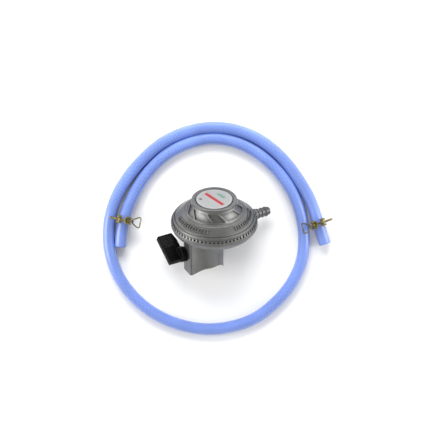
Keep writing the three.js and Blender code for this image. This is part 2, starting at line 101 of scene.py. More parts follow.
# The cone's panels, wide and narrow by turns, in degrees; they lean round as they rise. Foot and
# head are shares of the slope.
PANEL_PAIRS = 5
PANEL_FIRST = 210.3
PANEL_WIDE = 44.0
PANEL_NARROW = 28.0
PANEL_SWIRL = 22.0
PANEL_FOOT = 0.14
PANEL_HEAD = 0.88
# The lever's plate, about the line it turns on.
LEVER_REACH = -41.0
LEVER_TIP = -24.0
LEVER_HUB_X = -21.4
LEVER_HUB_R = 8.5
LEVER_HUB_FRONT = 27.0
LEVER_NEAR = -5.7
LEVER_SHOULDER = 19.0
LEVER_FAR = 28.7
LEVER_BACK = -6.7
LEVER_FRONT = -0.3
LEVER_TILT = 27.5
OUTLET_Z = 37.8
BARB_COLLAR = 49.2
BARB_TIP = 67.6
BARB_BORE_R = 2.8
BOSS_FOOT = 36.0

# The hose, and a clamp in its own frame: y along the hose, x across it towards the screw's head,
# z up from the hose's middle.
HOSE_R = 6.5
CLAMP_WIRE_R = 0.9
CLAMP_RING_R = 7.85
CLAMP_SPREAD = 3.1
BARREL_X = 4.2
BARREL_Z = 11.0
BARREL_R = 2.1
BARREL_HALF = 4.4
SCREW_R = 1.35
SCREW_TIP = -16.0
SCREW_COLLAR = 6.6
SCREW_HEAD = 7.8
EYE_X = SCREW_HEAD + 1.8
HANDLE_LENGTH = 8.6
HANDLE_HALF = 5.6
HANDLE_WIRE_R = 0.7
PLAY = 0.3
CLAMPS = ("clamp_a", "clamp_b")

# Route of the hose's middle, in metres, from one cut end to the other.
ROUTE = [
    (-0.1023, -0.0171, 0.0079), (-0.1013, -0.0036, 0.0087), (-0.0983, 0.0124, 0.0090),
    (-0.0928, 0.0289, 0.0080), (-0.0823, 0.0499, 0.0067), (-0.0688, 0.0684, 0.0066),
    (-0.0513, 0.0844, 0.0066), (-0.0293, 0.0959, 0.0066), (-0.0043, 0.1014, 0.0066),
    (0.0212, 0.0984, 0.0066), (0.0447, 0.0879, 0.0066), (0.0652, 0.0714, 0.0066),
    (0.0817, 0.0509, 0.0066), (0.0932, 0.0264, 0.0066), (0.0987, -0.0006, 0.0066),
    (0.0972, -0.0291, 0.0066), (0.0862, -0.0556, 0.0066), (0.0677, -0.0781, 0.0066),
    (0.0447, -0.0956, 0.0066), (0.0172, -0.1051, 0.0066), (-0.0118, -0.1071, 0.0066),
    (-0.0398, -0.1016, 0.0066), (-0.0658, -0.0896, 0.0066), (-0.0878, -0.0716, 0.0066),
    (-0.1048, -0.0481, 0.0066), (-0.1138, -0.0211, 0.0066), (-0.1148, 0.0069, 0.0066),
    (-0.1083, 0.0339, 0.0066), (-0.0953, 0.0579, 0.0066), (-0.0783, 0.0784, 0.0066),
    (-0.0573, 0.0964, 0.0066), (-0.0323, 0.1084, 0.0066), (-0.0043, 0.1139, 0.0066),
    (0.0252, 0.1109, 0.0066), (0.0522, 0.0994, 0.0066), (0.0752, 0.0804, 0.0066),
    (0.0922, 0.0584, 0.0067), (0.1062, 0.0334, 0.0080), (0.1147, 0.0084, 0.0090),
    (0.1222, -0.0141, 0.0084),
]


# ---- sizes and colours that a user would change -----------------------------------------

def length(name, description, millimetres):
    return FloatProperty(name=name, description=description, default=millimetres * MM,
                         min=0.0, precision=5, unit="LENGTH")


def colour(name, description, rgb):
    return FloatVectorProperty(name=name, description=description, default=rgb, size=3,
                               min=0.0, max=1.0, subtype="COLOR")


def share(name, description, value):
    return FloatProperty(name=name, description=description, default=value, min=0.0, max=1.0,
                         subtype="FACTOR")


class RegulatorSizes(PropertyGroup):
    edge: length("Edge rounding", "Radius of the cast edges", 0.5)
    tooth_count: IntProperty(name="Crimp teeth", description="Teeth of the crimped lip", default=68)
    tooth_width: length("Tooth width", "Width of one crimp tooth along the lip", 2.3)
    panel_depth: length("Panel depth", "How deep the cone's panels are let in", 1.3)
    rib_width: length("Rib width", "Width of the ribs between the cone's panels", 2.2)
    mark_length: length("Mark length", "Length of the raised marks on the bonnet's slope", 4.6)
    mark_pitch: length("Mark pitch", "Distance between the raised marks", 3.4)


class HoseSizes(PropertyGroup):
    bore: length("Bore", "Inside diameter of the hose", 9.0)
    braid_pitch: length("Braid pitch", "Distance between the yarns along the hose", 1.9)
    braid_yarns: IntProperty(name="Yarns", description="Yarns round the hose each way", default=16)


class ClampSizes(PropertyGroup):
    thread_pitch: length("Thread pitch", "Rise of the screw's thread in one turn", 0.8)
    thread_depth: length("Thread depth", "Depth of the screw's thread", 0.22)


class FinishColours(PropertyGroup):
    alloy: colour("Cast alloy", "Satin die-cast body and bonnet", (0.178, 0.177, 0.173))
    plastic: colour("Black plastic", "Control lever", (0.003, 0.003, 0.003))
    hose: colour("Hose", "Soft PVC between the yarns", (0.022, 0.046, 0.36))
    yarn: colour("Yarn", "Reinforcing yarn under the surface", (0.200, 0.310, 0.70))
    zinc: colour("Yellow zinc", "Passivated plating of the clamps", (0.36, 0.28, 0.105))
    # Dark zinc also gives, at half strength, the painted shade in the clamps' hollows.
    zinc_dark: colour("Dark zinc", "Plating where it has gone brown", (0.045, 0.036, 0.018))
    label: colour("Label", "Ground of the foil label", (0.262, 0.263, 0.262))
    stripe: colour("Stripe", "Slanting bar on the label", (0.26, 0.015, 0.02))
    brass: colour("Brass", "Jet, stem and plug", (0.70, 0.51, 0.22))
    steel: colour("Steel", "Springs, balls and spindle", (0.60, 0.61, 0.62))
    rubber: colour("Rubber", "Diaphragm and seals", (0.020, 0.020, 0.021))


class StageSettings(PropertyGroup):
    camera_height: FloatProperty(name="Camera height", description="Height of the lens over the floor",
                                 default=3.0, unit="LENGTH")
    frame_width: FloatProperty(name="Framed width", description="Width of floor that the lens takes in",
                               default=0.4917, unit="LENGTH")
    aim: FloatVectorProperty(name="Aim", description="Where the camera looks, from the middle of the hose",
                             default=(0.0075, 0.0053), size=2, unit="LENGTH")
    floor_colour: colour("Floor", "Plain pale floor", (0.92, 0.92, 0.92))
    ambient: share("Ambient", "Strength of the plain light from all round", 0.80)


# ---- places -----------------------------------------------------------------------------

def placed(x_axis, z_axis, origin):
    """The matrix from a piece's own millimetres to the frame's metres."""
    x = Vector(x_axis).normalized()
    y = Vector(z_axis).cross(x).normalized()
    turn = Matrix((x, y, x.cross(y))).transposed()
    return Matrix.Translation(origin) @ turn.to_4x4() @ Matrix.Scale(MM, 4)


def regulator_place():
    lever = JOINTS["lever_turn"]
    x = -Vector(lever["axis"])
    z = Vector(JOINTS["diaphragm_lift"]["axis"])
    about_origin = placed(x, z, (0, 0, 0))
    return placed(x, z, Vector(lever["pos_m"]) - about_origin @ LEVER_PIVOT)


def clamp_place(clamp):
    x = Vector(JOINTS[clamp + "_close"]["axis"])
    middle = Vector(JOINTS[clamp + "_turn"]["pos_m"]) - Vector((0, 0, BARREL_Z * MM))
    return placed(x, (0, 0, 1), middle)


REGULATOR = regulator_place()
ALONG_X = Matrix.Rotation(math.radians(90), 4, "Y")
ALONG_Y = Matrix.Rotation(math.radians(90), 4, "X")


def on_axis(x, y=0.0, z=0.0):
    return Matrix.Translation((x, y, z))


# ---- outlines and meshes, in millimetres ------------------------------------------------

NEARLY_STRAIGHT = math.radians(172)
# How much of a side one rounded corner may use.
SIDE_SHARE = 0.45


def fillet(points, radius, steps=3, closed=True):
    """The outline with each corner rounded, by as much of the radius as its sides allow."""
    rounded = []
    for i, point in enumerate(points):
        here = Vector(point)
        before = Vector(points[i - 1]) - here
        after = Vector(points[(i + 1) % len(points)]) - here
        at_end = not closed and i in (0, len(points) - 1)
        too_short = min(before.length, after.length) < TINY
        if at_end or too_short or before.angle(after) > NEARLY_STRAIGHT:
            rounded.append(here)
            continue
        reach = min(radius / math.tan(before.angle(after) / 2),
                    SIDE_SHARE * before.length, SIDE_SHARE * after.length)
        start = here + before.normalized() * reach
        end = here + after.normalized() * reach
        for step in range(steps + 1):
            t = step / steps
            rounded.append(start.lerp(here, t).lerp(here.lerp(end, t), t))
    return rounded


def turned(profile, steps=96):
    """A solid turned about z from a closed outline of (radius, height) points."""
    bm = bmesh.new()
    rings = []
    for radius, height in profile:
        if radius < TINY:
            rings.append([bm.verts.new((0, 0, height))])
            continue
        angles = [2 * math.pi * i / steps for i in range(steps)]
        rings.append([bm.verts.new((radius * math.cos(a), radius * math.sin(a), height)) for a in angles])
    for low, high in zip(rings, rings[1:] + rings[:1]):
        if len(low) == len(high) == 1:
            continue
        for i in range(steps):
            j = (i + 1) % steps
            corners = [low[i % len(low)], low[j % len(low)], high[j % len(high)], high[i % len(high)]]
            bm.faces.new(dict.fromkeys(corners))
    bmesh.ops.recalc_face_normals(bm, faces=bm.faces)
    return bm


def eased_turning(outline, radius, corner_steps, steps):
    """A solid turned from an outline that starts and ends on the axis, with its corners rounded."""
    return turned(fillet(outline, radius, corner_steps, closed=False), steps)


def disc(radius, low, high, edge=0.0, steps=96):
    outline = [(0, low), (radius, low), (radius, high), (0, high)]
    return eased_turning(outline, edge, 3, steps) if edge else turned(outline, steps)


def extruded(outline, low, high):
    """A solid with this outline in x and y, from z low to high."""
    bm = bmesh.new()
    face = bm.faces.new([bm.verts.new((x, y, low)) for x, y in outline])
    made = bmesh.ops.extrude_face_region(bm, geom=[face])
    moved = [part for part in made["geom"] if isinstance(part, bmesh.types.BMVert)]
    bmesh.ops.translate(bm, vec=(0, 0, high - low), verts=moved)
    bmesh.ops.recalc_face_normals(bm, faces=bm.faces)
    return bm


def block(x0, x1, y0, y1, z0, z1, edge=0.0):
    bm = extruded([(x0, y0), (x1, y0), (x1, y1), (x0, y1)], z0, z1)
    if edge:
        bmesh.ops.bevel(bm, geom=bm.edges[:], offset=edge, segments=3, profile=0.5, affect="EDGES")
    return bm


def smooth_line(points, count, closed=False):
    """Points along a centripetal Catmull-Rom curve through the given ones."""
    given = [Vector(point) for point in points]
    if closed:
        given = [given[-1]] + given + given[:2]
    else:
        given = [2 * given[0] - given[1]] + given + [2 * given[-1] - given[-2]]
    spans = len(given) - 3
    line = []
    for step in range(count + (0 if closed else 1)):
        at = spans * step / count
        span = min(int(at), spans - 1)
        line.append(catmull_point(given[span:span + 4], at - span))
    return line


def catmull_point(corners, t):
    """The point a share t of the way between the middle two of four corners."""
    a, b, c, d = corners
    ab, bc, cd = ((q - p).length ** 0.5 for p, q in ((a, b), (b, c), (c, d)))
    leave = ((b - a) / ab - (c - a) / (ab + bc) + (c - b) / bc) * bc
    arrive = ((c - b) / bc - (d - b) / (bc + cd) + (d - c) / cd) * bc
    return (b + leave * t + (-3 * b + 3 * c - 2 * leave - arrive) * t ** 2
            + (2 * b - 2 * c + leave + arrive) * t ** 3)


def even_line(points, spacing):
    """The same line with its points an even distance apart."""
    run = [0.0]
    for before, after in zip(points, points[1:]):
        run.append(run[-1] + (after - before).length)
    count = max(2, round(run[-1] / spacing))
    line = []
    span = 0
    for step in range(count + 1):
        at = run[-1] * step / count
        while span < len(points) - 2 and run[span + 1] < at:
            span += 1
        part = (at - run[span]) / max(run[span + 1] - run[span], 1e-12)
        line.append(points[span].lerp(points[span + 1], part))
    return line


def frames_along(line, closed=False):
    """A pair of directions square to the line at each of its points, carried along it untwisted."""
    count = len(line)
    frames = []
    across = None
    for i in range(count):
        after = line[(i + 1) % count] if closed else line[min(i + 1, count - 1)]
        before = line[i - 1] if closed else line[max(i - 1, 0)]
        heading = (after - before).normalized()
        if across is None:
            across = heading.cross(Vector((0, 0, 1)))
            if across.length < 0.1:
                across = heading.cross(Vector((0, 1, 0)))
        across = (across - heading * across.dot(heading)).normalized()
        frames.append((across, heading.cross(across)))
    return frames


def round_ring(bm, centre, directions, radius, sides):
    """Corners evenly round a centre, in the plane of two directions."""
    across, up = directions
    return [bm.verts.new(centre + radius * (across * math.cos(a) + up * math.sin(a)))
            for a in (2 * math.pi * i / sides for i in range(sides))]


def skinned(bm, rings, closed=False):
    """Joins rings of corners, each to the next, with a face over each open end."""
    pairs = list(zip(rings, rings[1:]))
    if closed:
        pairs.append((rings[-1], rings[0]))
    for low, high in pairs:
        for i in range(len(low)):
            j = (i + 1) % len(low)
            bm.faces.new((low[i], low[j], high[j], high[i]))
    if not closed:
        bm.faces.new(rings[0])
        bm.faces.new(rings[-1])
    bmesh.ops.recalc_face_normals(bm, faces=bm.faces)
    return bm


def wire(bm, line, radius, sides=12, closed=False):
    """Adds a round wire along the line, its cut ends slightly domed."""
    frames = frames_along(line, closed)
    rings = [round_ring(bm, point, directions, radius, sides) for point, directions in zip(line, frames)]
    if not closed:
        for end, inner, first in ((0, 1, True), (-1, -2, False)):
            out = (line[end] - line[inner]).normalized()
            dome = [round_ring(bm, line[end] + out * radius * rise, frames[end], radius * size, sides)
                    for rise, size in ((0.12, 0.9), (0.2, 0.7))]
            rings = dome[::-1] + rings if first else rings + dome
    return skinned(bm, rings, closed)


# ---- pieces -----------------------------------------------------------------------------

def held(name, bm, *steps):
    """An object with this mesh, moved by each matrix in turn."""
    mesh = bpy.data.meshes.new(name)
    bm.to_mesh(mesh)
    bm.free()
    for matrix in steps:
        mesh.transform(matrix)
    made = bpy.data.objects.new(name, mesh)
    bpy.context.scene.collection.objects.link(made)
    return made


def settled(made):
    """Turns an object's modifiers into its mesh."""
    view = bpy.context.evaluated_depsgraph_get()
    mesh = bpy.data.meshes.new_from_object(made.evaluated_get(view))
    made.modifiers.clear()
    made.data = mesh
    return made


def with_solids(made, others, operation):
    """Joins or cuts an object with others, which are used up."""
    for other in others:
        step = made.modifiers.new("solid", "BOOLEAN")
        step.solver = "EXACT"
        step.operation = operation
        step.object = other
    settled(made)
    for other in others:
        bpy.data.objects.remove(other)
    return made


def joined(made, *others):
    return with_solids(made, others, "UNION")


def cut(made, *others):
    return with_solids(made, others, "DIFFERENCE")


def softened(made, width, angle=35):
    """Rounds an object's sharp edges a little."""
    bevel = made.modifiers.new("edges", "BEVEL")
    bevel.width = width
    bevel.segments = 2
    bevel.limit_method = "ANGLE"
    bevel.angle_limit = math.radians(angle)
    bevel.use_clamp_overlap = True
    return settled(made)


def piece(made, maker, body, *nodes, place=REGULATOR, angle=32):
    """Puts a piece in the frame, on its body, in place of the CAD nodes it stands for.

    Its finish's maker is named after the slot that the piece fills.
    """
    mesh = made.data
    mesh.transform(place)
    for face in mesh.polygons:
        face.use_smooth = True
    mesh.set_sharp_from_angle(angle=math.radians(angle))
    mesh.materials.clear()
    mesh.materials.append(finish_named(maker))
    if body:
        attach(made, body)
    if nodes:
        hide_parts(*nodes)
    return made


# ---- geometry trees ---------------------------------------------------------------------

def add_node(tree, kind, inputs=(), **settings):
    """A node with its settings; an input takes a value, or a socket to be linked from."""
    node = tree.nodes.new(kind)
    for name, value in settings.items():
        setattr(node, name, value)
    for name, value in dict(inputs).items():
        socket = node.inputs[name]
        if isinstance(value, bpy.types.NodeSocket):
            tree.links.new(value, socket)
        else:
            socket.default_value = value
    return node


def made_once(make):
    """Makes a node group the first time, and after that finds it by its name.

    The name is the maker's, without its last word.
    """
    name = make.__name__.rsplit("_", 1)[0]

    def found_or_made():
        return bpy.data.node_groups.get(name) or make(name)

    return found_or_made


def maths(tree, operation, *values):
    return add_node(tree, "ShaderNodeMath", dict(enumerate(values)), operation=operation).outputs[0]


def shape_tree(name, sockets):
    """An empty geometry tree with these named inputs, and its input node."""
    tree = bpy.data.node_groups.new(name, "GeometryNodeTree")
    for label, kind, default in sockets:
        socket = tree.interface.new_socket(name=label, in_out="INPUT", socket_type=kind)
        if default is not None:
            socket.default_value = default
    tree.interface.new_socket(name="Geometry", in_out="OUTPUT", socket_type="NodeSocketGeometry")
    return tree, tree.nodes.new("NodeGroupInput").outputs


def close_tree(tree, geometry, finish):
    """Ends a tree in plain faces with their finish."""
    real = add_node(tree, "GeometryNodeRealizeInstances", {"Geometry": geometry})
    smooth = add_node(tree, "GeometryNodeSetShadeSmooth", {"Geometry": real.outputs[0]})
    painted = add_node(tree, "GeometryNodeSetMaterial", {"Geometry": smooth.outputs[0], "Material": finish})
    add_node(tree, "NodeGroupOutput", {"Geometry": painted.outputs[0]})
    return tree


def round_block(tree, given):
    """A block of the tree's Size, with its edges as soft as its Roundness."""
    block_node = add_node(tree, "GeometryNodeMeshCube", {"Size": given["Size"]})
    crease = maths(tree, "SUBTRACT", 1.0, given["Roundness"])
    return add_node(tree, "GeometryNodeSubdivisionSurface",
                    {"Mesh": block_node.outputs["Mesh"], "Level": 2, "Edge Crease": crease}).outputs[0]


@made_once
def studs_on_arc_tree(name):
    """Small rounded blocks spaced along an arc about z, each leaning towards the axis."""
    tree, given = shape_tree(name, [
        ("Count", "NodeSocketInt", 10), ("Radius", "NodeSocketFloat", 10.0),
        ("Height", "NodeSocketFloat", 0.0), ("First Angle", "NodeSocketFloat", 0.0),
        ("Step Angle", "NodeSocketFloat", 0.1), ("Lean", "NodeSocketFloat", 0.0),
        ("Size", "NodeSocketVector", (1.0, 1.0, 1.0)), ("Variation", "NodeSocketFloat", 0.0),
        ("Roundness", "NodeSocketFloat", 0.5), ("Seed", "NodeSocketInt", 1),
        ("Material", "NodeSocketMaterial", None),
    ])
    index = add_node(tree, "GeometryNodeInputIndex").outputs[0]
    angle = maths(tree, "MULTIPLY_ADD", index, given["Step Angle"], given["First Angle"])
    x = maths(tree, "MULTIPLY", maths(tree, "COSINE", angle), given["Radius"])
    y = maths(tree, "MULTIPLY", maths(tree, "SINE", angle), given["Radius"])
    place = add_node(tree, "ShaderNodeCombineXYZ", {"X": x, "Y": y, "Z": given["Height"]})
    points = add_node(tree, "GeometryNodePoints", {"Count": given["Count"], "Position": place.outputs[0]})
    turn = add_node(tree, "ShaderNodeCombineXYZ", {"Y": given["Lean"], "Z": angle})
    rotation = add_node(tree, "FunctionNodeEulerToRotation", {"Euler": turn.outputs[0]})
    least = maths(tree, "SUBTRACT", 1.0, given["Variation"])
    low = add_node(tree, "ShaderNodeCombineXYZ", {"X": least, "Y": least, "Z": 1.0})
    scale = add_node(tree, "FunctionNodeRandomValue",
                     {"Min": low.outputs[0], "Max": (1.0, 1.0, 1.0), "ID": index, "Seed": given["Seed"]},
                     data_type="FLOAT_VECTOR")
    studs = add_node(tree, "GeometryNodeInstanceOnPoints", {
        "Points": points.outputs[0], "Instance": round_block(tree, given),
        "Rotation": rotation.outputs[0], "Scale": scale.outputs["Value"]})
    return close_tree(tree, studs.outputs[0], given["Material"])


@made_once
def studs_in_row_tree(name):
    """Rounded bars side by side along y."""
    tree, given = shape_tree(name, [
        ("Count", "NodeSocketInt", 5), ("Start", "NodeSocketVector", (0.0, 0.0, 0.0)),
        ("Pitch", "NodeSocketFloat", 1.0), ("Size", "NodeSocketVector", (1.0, 1.0, 1.0)),
        ("Roundness", "NodeSocketFloat", 0.5), ("Material", "NodeSocketMaterial", None),
    ])
    step = add_node(tree, "ShaderNodeCombineXYZ", {"Y": given["Pitch"]})
    row = add_node(tree, "GeometryNodeMeshLine", {
        "Count": given["Count"], "Start Location": given["Start"], "Offset": step.outputs[0]})
    bars = add_node(tree, "GeometryNodeInstanceOnPoints",
                    {"Points": row.outputs[0], "Instance": round_block(tree, given)})
    return close_tree(tree, bars.outputs[0], given["Material"])


@made_once
def wire_coil_tree(name):
    """A wire coil about z, from z = 0 up."""
    tree, given = shape_tree(name, [
        ("Turns", "NodeSocketFloat", 3.0), ("Radius", "NodeSocketFloat", 5.0),
        ("Height", "NodeSocketFloat", 10.0), ("Wire Radius", "NodeSocketFloat", 0.5),
        ("Material", "NodeSocketMaterial", None),
    ])
    line = add_node(tree, "GeometryNodeCurveSpiral", {
        "Resolution": 40, "Rotations": given["Turns"], "Start Radius": given["Radius"],
        "End Radius": given["Radius"], "Height": given["Height"]})
    section = add_node(tree, "GeometryNodeCurvePrimitiveCircle",
                       {"Resolution": 12, "Radius": given["Wire Radius"]})
    coil = add_node(tree, "GeometryNodeCurveToMesh", {
        "Curve": line.outputs[0], "Profile Curve": section.outputs[0], "Fill Caps": True})
    return close_tree(tree, coil.outputs[0], given["Material"])


def grown(name, tree, values):
    """The plain mesh object that a geometry tree makes from these named inputs."""
    made = bpy.data.objects.new(name, bpy.data.meshes.new(name))
    bpy.context.scene.collection.objects.link(made)
    step = made.modifiers.new("shape", "NODES")
    step.node_group = tree
    for socket in tree.interface.items_tree:
        if socket.in_out == "INPUT" and socket.name in values:
            step[socket.identifier] = values[socket.name]
    return settled(made)


# ---- surface effects that several finishes share ----------------------------------------

def value_range(tree, value, low, high, to_low=0.0, to_high=1.0):
    return add_node(tree, "ShaderNodeMapRange", {
        "Value": value, "From Min": low, "From Max": high, "To Min": to_low, "To Max": to_high}).outputs[0]


def effect(name, inputs, outputs):
    """An empty shader group with these named sockets, and its input sockets."""
    group = bpy.data.node_groups.new(name, "ShaderNodeTree")
    for label, default in inputs:
        socket = group.interface.new_socket(name=label, in_out="INPUT", socket_type="NodeSocketFloat")
        socket.default_value = default
    for label in outputs:
        group.interface.new_socket(name=label, in_out="OUTPUT", socket_type="NodeSocketFloat")
    return group, group.nodes.new("NodeGroupInput").outputs


@made_once
def edge_wear_effect(name):
    """Wear: 1 along sharp outer edges, broken up by scuffs, and 0 elsewhere."""
    group, given = effect(name, [("Width", 0.0006), ("Scuff Scale", 300.0)], ["Wear"])
    shape = add_node(group, "ShaderNodeNewGeometry")
    eased = add_node(group, "ShaderNodeBevel", {"Radius": given["Width"]}, samples=6)
    turn = add_node(group, "ShaderNodeVectorMath", {0: eased.outputs[0], 1: shape.outputs["Normal"]},
                    operation="DOT_PRODUCT").outputs["Value"]
    edge = value_range(group, turn, 0.995, 0.86)
    where = add_node(group, "ShaderNodeTexCoord").outputs["Object"]
    scuff = add_node(group, "ShaderNodeTexNoise",
                     {"Vector": where, "Scale": given["Scuff Scale"], "Detail": 4.0})
    wear = maths(group, "MULTIPLY", edge, value_range(group, scuff.outputs[0], 0.3, 0.62, 0.35))
    add_node(group, "NodeGroupOutput", {"Wear": wear})
    return group


@made_once
def surface_grain_effect(name):
    """Grain: the height of a fine cast or moulded tooth. Clouds: a slow drift over the surface."""
    group, given = effect(name, [("Grain Scale", 1500.0), ("Cloud Scale", 60.0)],
                          ["Grain", "Clouds"])
    where = add_node(group, "ShaderNodeTexCoord").outputs["Object"]
    fine = add_node(group, "ShaderNodeTexNoise",
                    {"Vector": where, "Scale": given["Grain Scale"], "Detail": 3.0, "Roughness": 0.6})
    pits = add_node(group, "ShaderNodeTexVoronoi", {"Vector": where, "Scale": given["Grain Scale"]})
    grain = maths(group, "MULTIPLY_ADD", pits.outputs["Distance"], 0.4, fine.outputs[0])
    slow = add_node(group, "ShaderNodeTexNoise",
                    {"Vector": where, "Scale": given["Cloud Scale"], "Detail": 5.0, "Distortion": 0.4})
    add_node(group, "NodeGroupOutput", {"Grain": grain, "Clouds": slow.outputs[0]})
    return group


@made_once
def hollow_effect(name):
    """Painted shade: 1 deep in grooves and corners, 0 on open faces."""
    group, given = effect(name, [("Reach", 0.002)], ["Hollow"])
    shade = add_node(group, "ShaderNodeAmbientOcclusion", {"Distance": given["Reach"]}, samples=6)
    add_node(group, "NodeGroupOutput", {"Hollow": value_range(group, shade.outputs["AO"], 0.9, 0.45)})
    return group


@made_once
def machining_effect(name):
    """Streaks: fine lines round the regulator's axis, as a lathe leaves them."""
    group, given = effect(name, [("Line Scale", 4000.0)], ["Streaks"])
    where = add_node(group, "ShaderNodeTexCoord").outputs["Object"]
    axis = add_node(group, "ShaderNodeVectorMath",
                    {0: where, 1: Vector(JOINTS["diaphragm_lift"]["axis"])}, operation="DOT_PRODUCT")
    lines = add_node(group, "ShaderNodeTexNoise", {"W": axis.outputs["Value"], "Scale": given["Line Scale"],
                                                   "Detail": 2.0}, noise_dimensions="1D")
    add_node(group, "NodeGroupOutput", {"Streaks": lines.outputs[0]})
    return group


@made_once
def braid_effect(name):
    """Yarn: 1 on two crossing sets of yarns, wound round the hose on its map. Weave: their height."""
    group, given = effect(name, [("Yarns", 16.0), ("Pitch", 0.0019), ("Softness", 0.25)],
                          ["Yarn", "Weave"])
    where = add_node(group, "ShaderNodeUVMap", uv_map="hose_map").outputs[0]
    parts = add_node(group, "ShaderNodeSeparateXYZ", {"Vector": where}).outputs
    around = maths(group, "MULTIPLY", parts["X"], given["Yarns"])
    along = maths(group, "DIVIDE", parts["Y"], given["Pitch"])
    ridges = []
    for direction in ("ADD", "SUBTRACT"):
        phase = maths(group, "FRACT", maths(group, direction, along, around))
        ridge = maths(group, "ABSOLUTE", maths(group, "SUBTRACT", phase, 0.5))
        ridges.append(add_node(group, "ShaderNodeMapRange", {
            "Value": ridge, "From Min": 0.12, "From Max": maths(group, "ADD", given["Softness"], 0.12),
            "To Min": 1.0, "To Max": 0.0}, interpolation_type="SMOOTHSTEP").outputs[0])
    over = maths(group, "MAXIMUM", *ridges)
    both = maths(group, "ADD", *ridges)
    add_node(group, "NodeGroupOutput", {"Yarn": over, "Weave": both})
    return group


# ---- finishes ---------------------------------------------------------------------------

def new_finish(name, **values):
    """A material with a Principled shader whose plain values are set on its own sockets."""
    finish = bpy.data.materials.new(name + FINISH)
    finish.use_nodes = True
    tree = finish.node_tree
    shader = tree.nodes["Principled BSDF"]
    for label, value in values.items():
        shader.inputs[label.replace("_", " ")].default_value = value
    return finish, tree, shader


def placed_effect(tree, group, **values):
    """A shader group in this material, with its own values, and its outputs."""
    node = add_node(tree, "ShaderNodeGroup", node_tree=group)
    for label, value in values.items():
        node.inputs[label.replace("_", " ")].default_value = value
    return node.outputs


def colour_mix(tree, factor, low, high):
    """The colour between two, by a mask."""
    node = tree.nodes.new("ShaderNodeMix")
    node.data_type = "RGBA"
    for socket, value in zip((node.inputs[0], node.inputs[6], node.inputs[7]), (factor, low, high)):
        if isinstance(value, bpy.types.NodeSocket):
            tree.links.new(value, socket)
        else:
            socket.default_value = (*value, 1.0)
    return node.outputs[2]


def clouded(tree, grain, low, high, start=0.3, end=0.7):
    """The colour that drifts between two with the grain's clouds."""
    return colour_mix(tree, value_range(tree, grain["Clouds"], start, end), low, high)


def put_on(tree, shader, tone, dullness, spread):
    """Gives the shader its colour, and a roughness that runs over this spread."""
    tree.links.new(tone, shader.inputs["Base Color"])
    tree.links.new(value_range(tree, dullness, *spread), shader.inputs["Roughness"])


def bump(tree, shader, height, strength, distance):
    node = add_node(tree, "ShaderNodeBump", {"Strength": strength, "Distance": distance, "Height": height})
    tree.links.new(node.outputs[0], shader.inputs["Normal"])


def dimmed(rgb, share_left):
    return tuple(channel * share_left for channel in rgb)


def cast_alloy():
    """Satin die-cast alloy: fine grain, slow mottling, painted shade in the grooves and corners, and brighter
    where edges have rubbed.
    """
    base = bpy.context.scene.finish_colours.alloy
    finish, tree, shader = new_finish("cast_alloy", Metallic=0.92)
    grain = placed_effect(tree, surface_grain_effect(), Grain_Scale=1900.0, Cloud_Scale=70.0)
    wear = placed_effect(tree, edge_wear_effect(), Width=0.0005, Scuff_Scale=420.0)["Wear"]
    mottled = clouded(tree, grain, dimmed(base, 0.86), dimmed(base, 1.12))
    # Painted shade: the alloy's colour is darkened in grooves and corners, where shade falls.
    hollow = placed_effect(tree, hollow_effect(), Reach=0.0022)["Hollow"]
    shaded = colour_mix(tree, maths(tree, "MULTIPLY", hollow, 0.85), mottled, dimmed(base, 0.22))
    worn = colour_mix(tree, maths(tree, "MULTIPLY", wear, 0.75), shaded, (0.74, 0.74, 0.73))
    put_on(tree, shader, worn, grain["Grain"], (0.3, 1.0, 0.30, 0.46))
    bump(tree, shader, grain["Grain"], 0.35, 0.00012)
    return finish


def black_plastic():
    """Moulded black nylon: fine spark-eroded grain and grey rubbed edges."""
    base = bpy.context.scene.finish_colours.plastic
    finish, tree, shader = new_finish("black_plastic", Specular_IOR_Level=0.08)
    grain = placed_effect(tree, surface_grain_effect(), Grain_Scale=2600.0, Cloud_Scale=90.0)
    wear = placed_effect(tree, edge_wear_effect(), Width=0.0009, Scuff_Scale=260.0)["Wear"]
    tone = clouded(tree, grain, dimmed(base, 0.7), dimmed(base, 1.5), 0.35, 0.65)
    worn = colour_mix(tree, maths(tree, "MULTIPLY", wear, 0.8), tone, (0.085, 0.085, 0.088))
    put_on(tree, shader, worn, grain["Clouds"], (0.3, 0.7, 0.42, 0.58))
    bump(tree, shader, grain["Grain"], 0.5, 0.00012)
    return finish


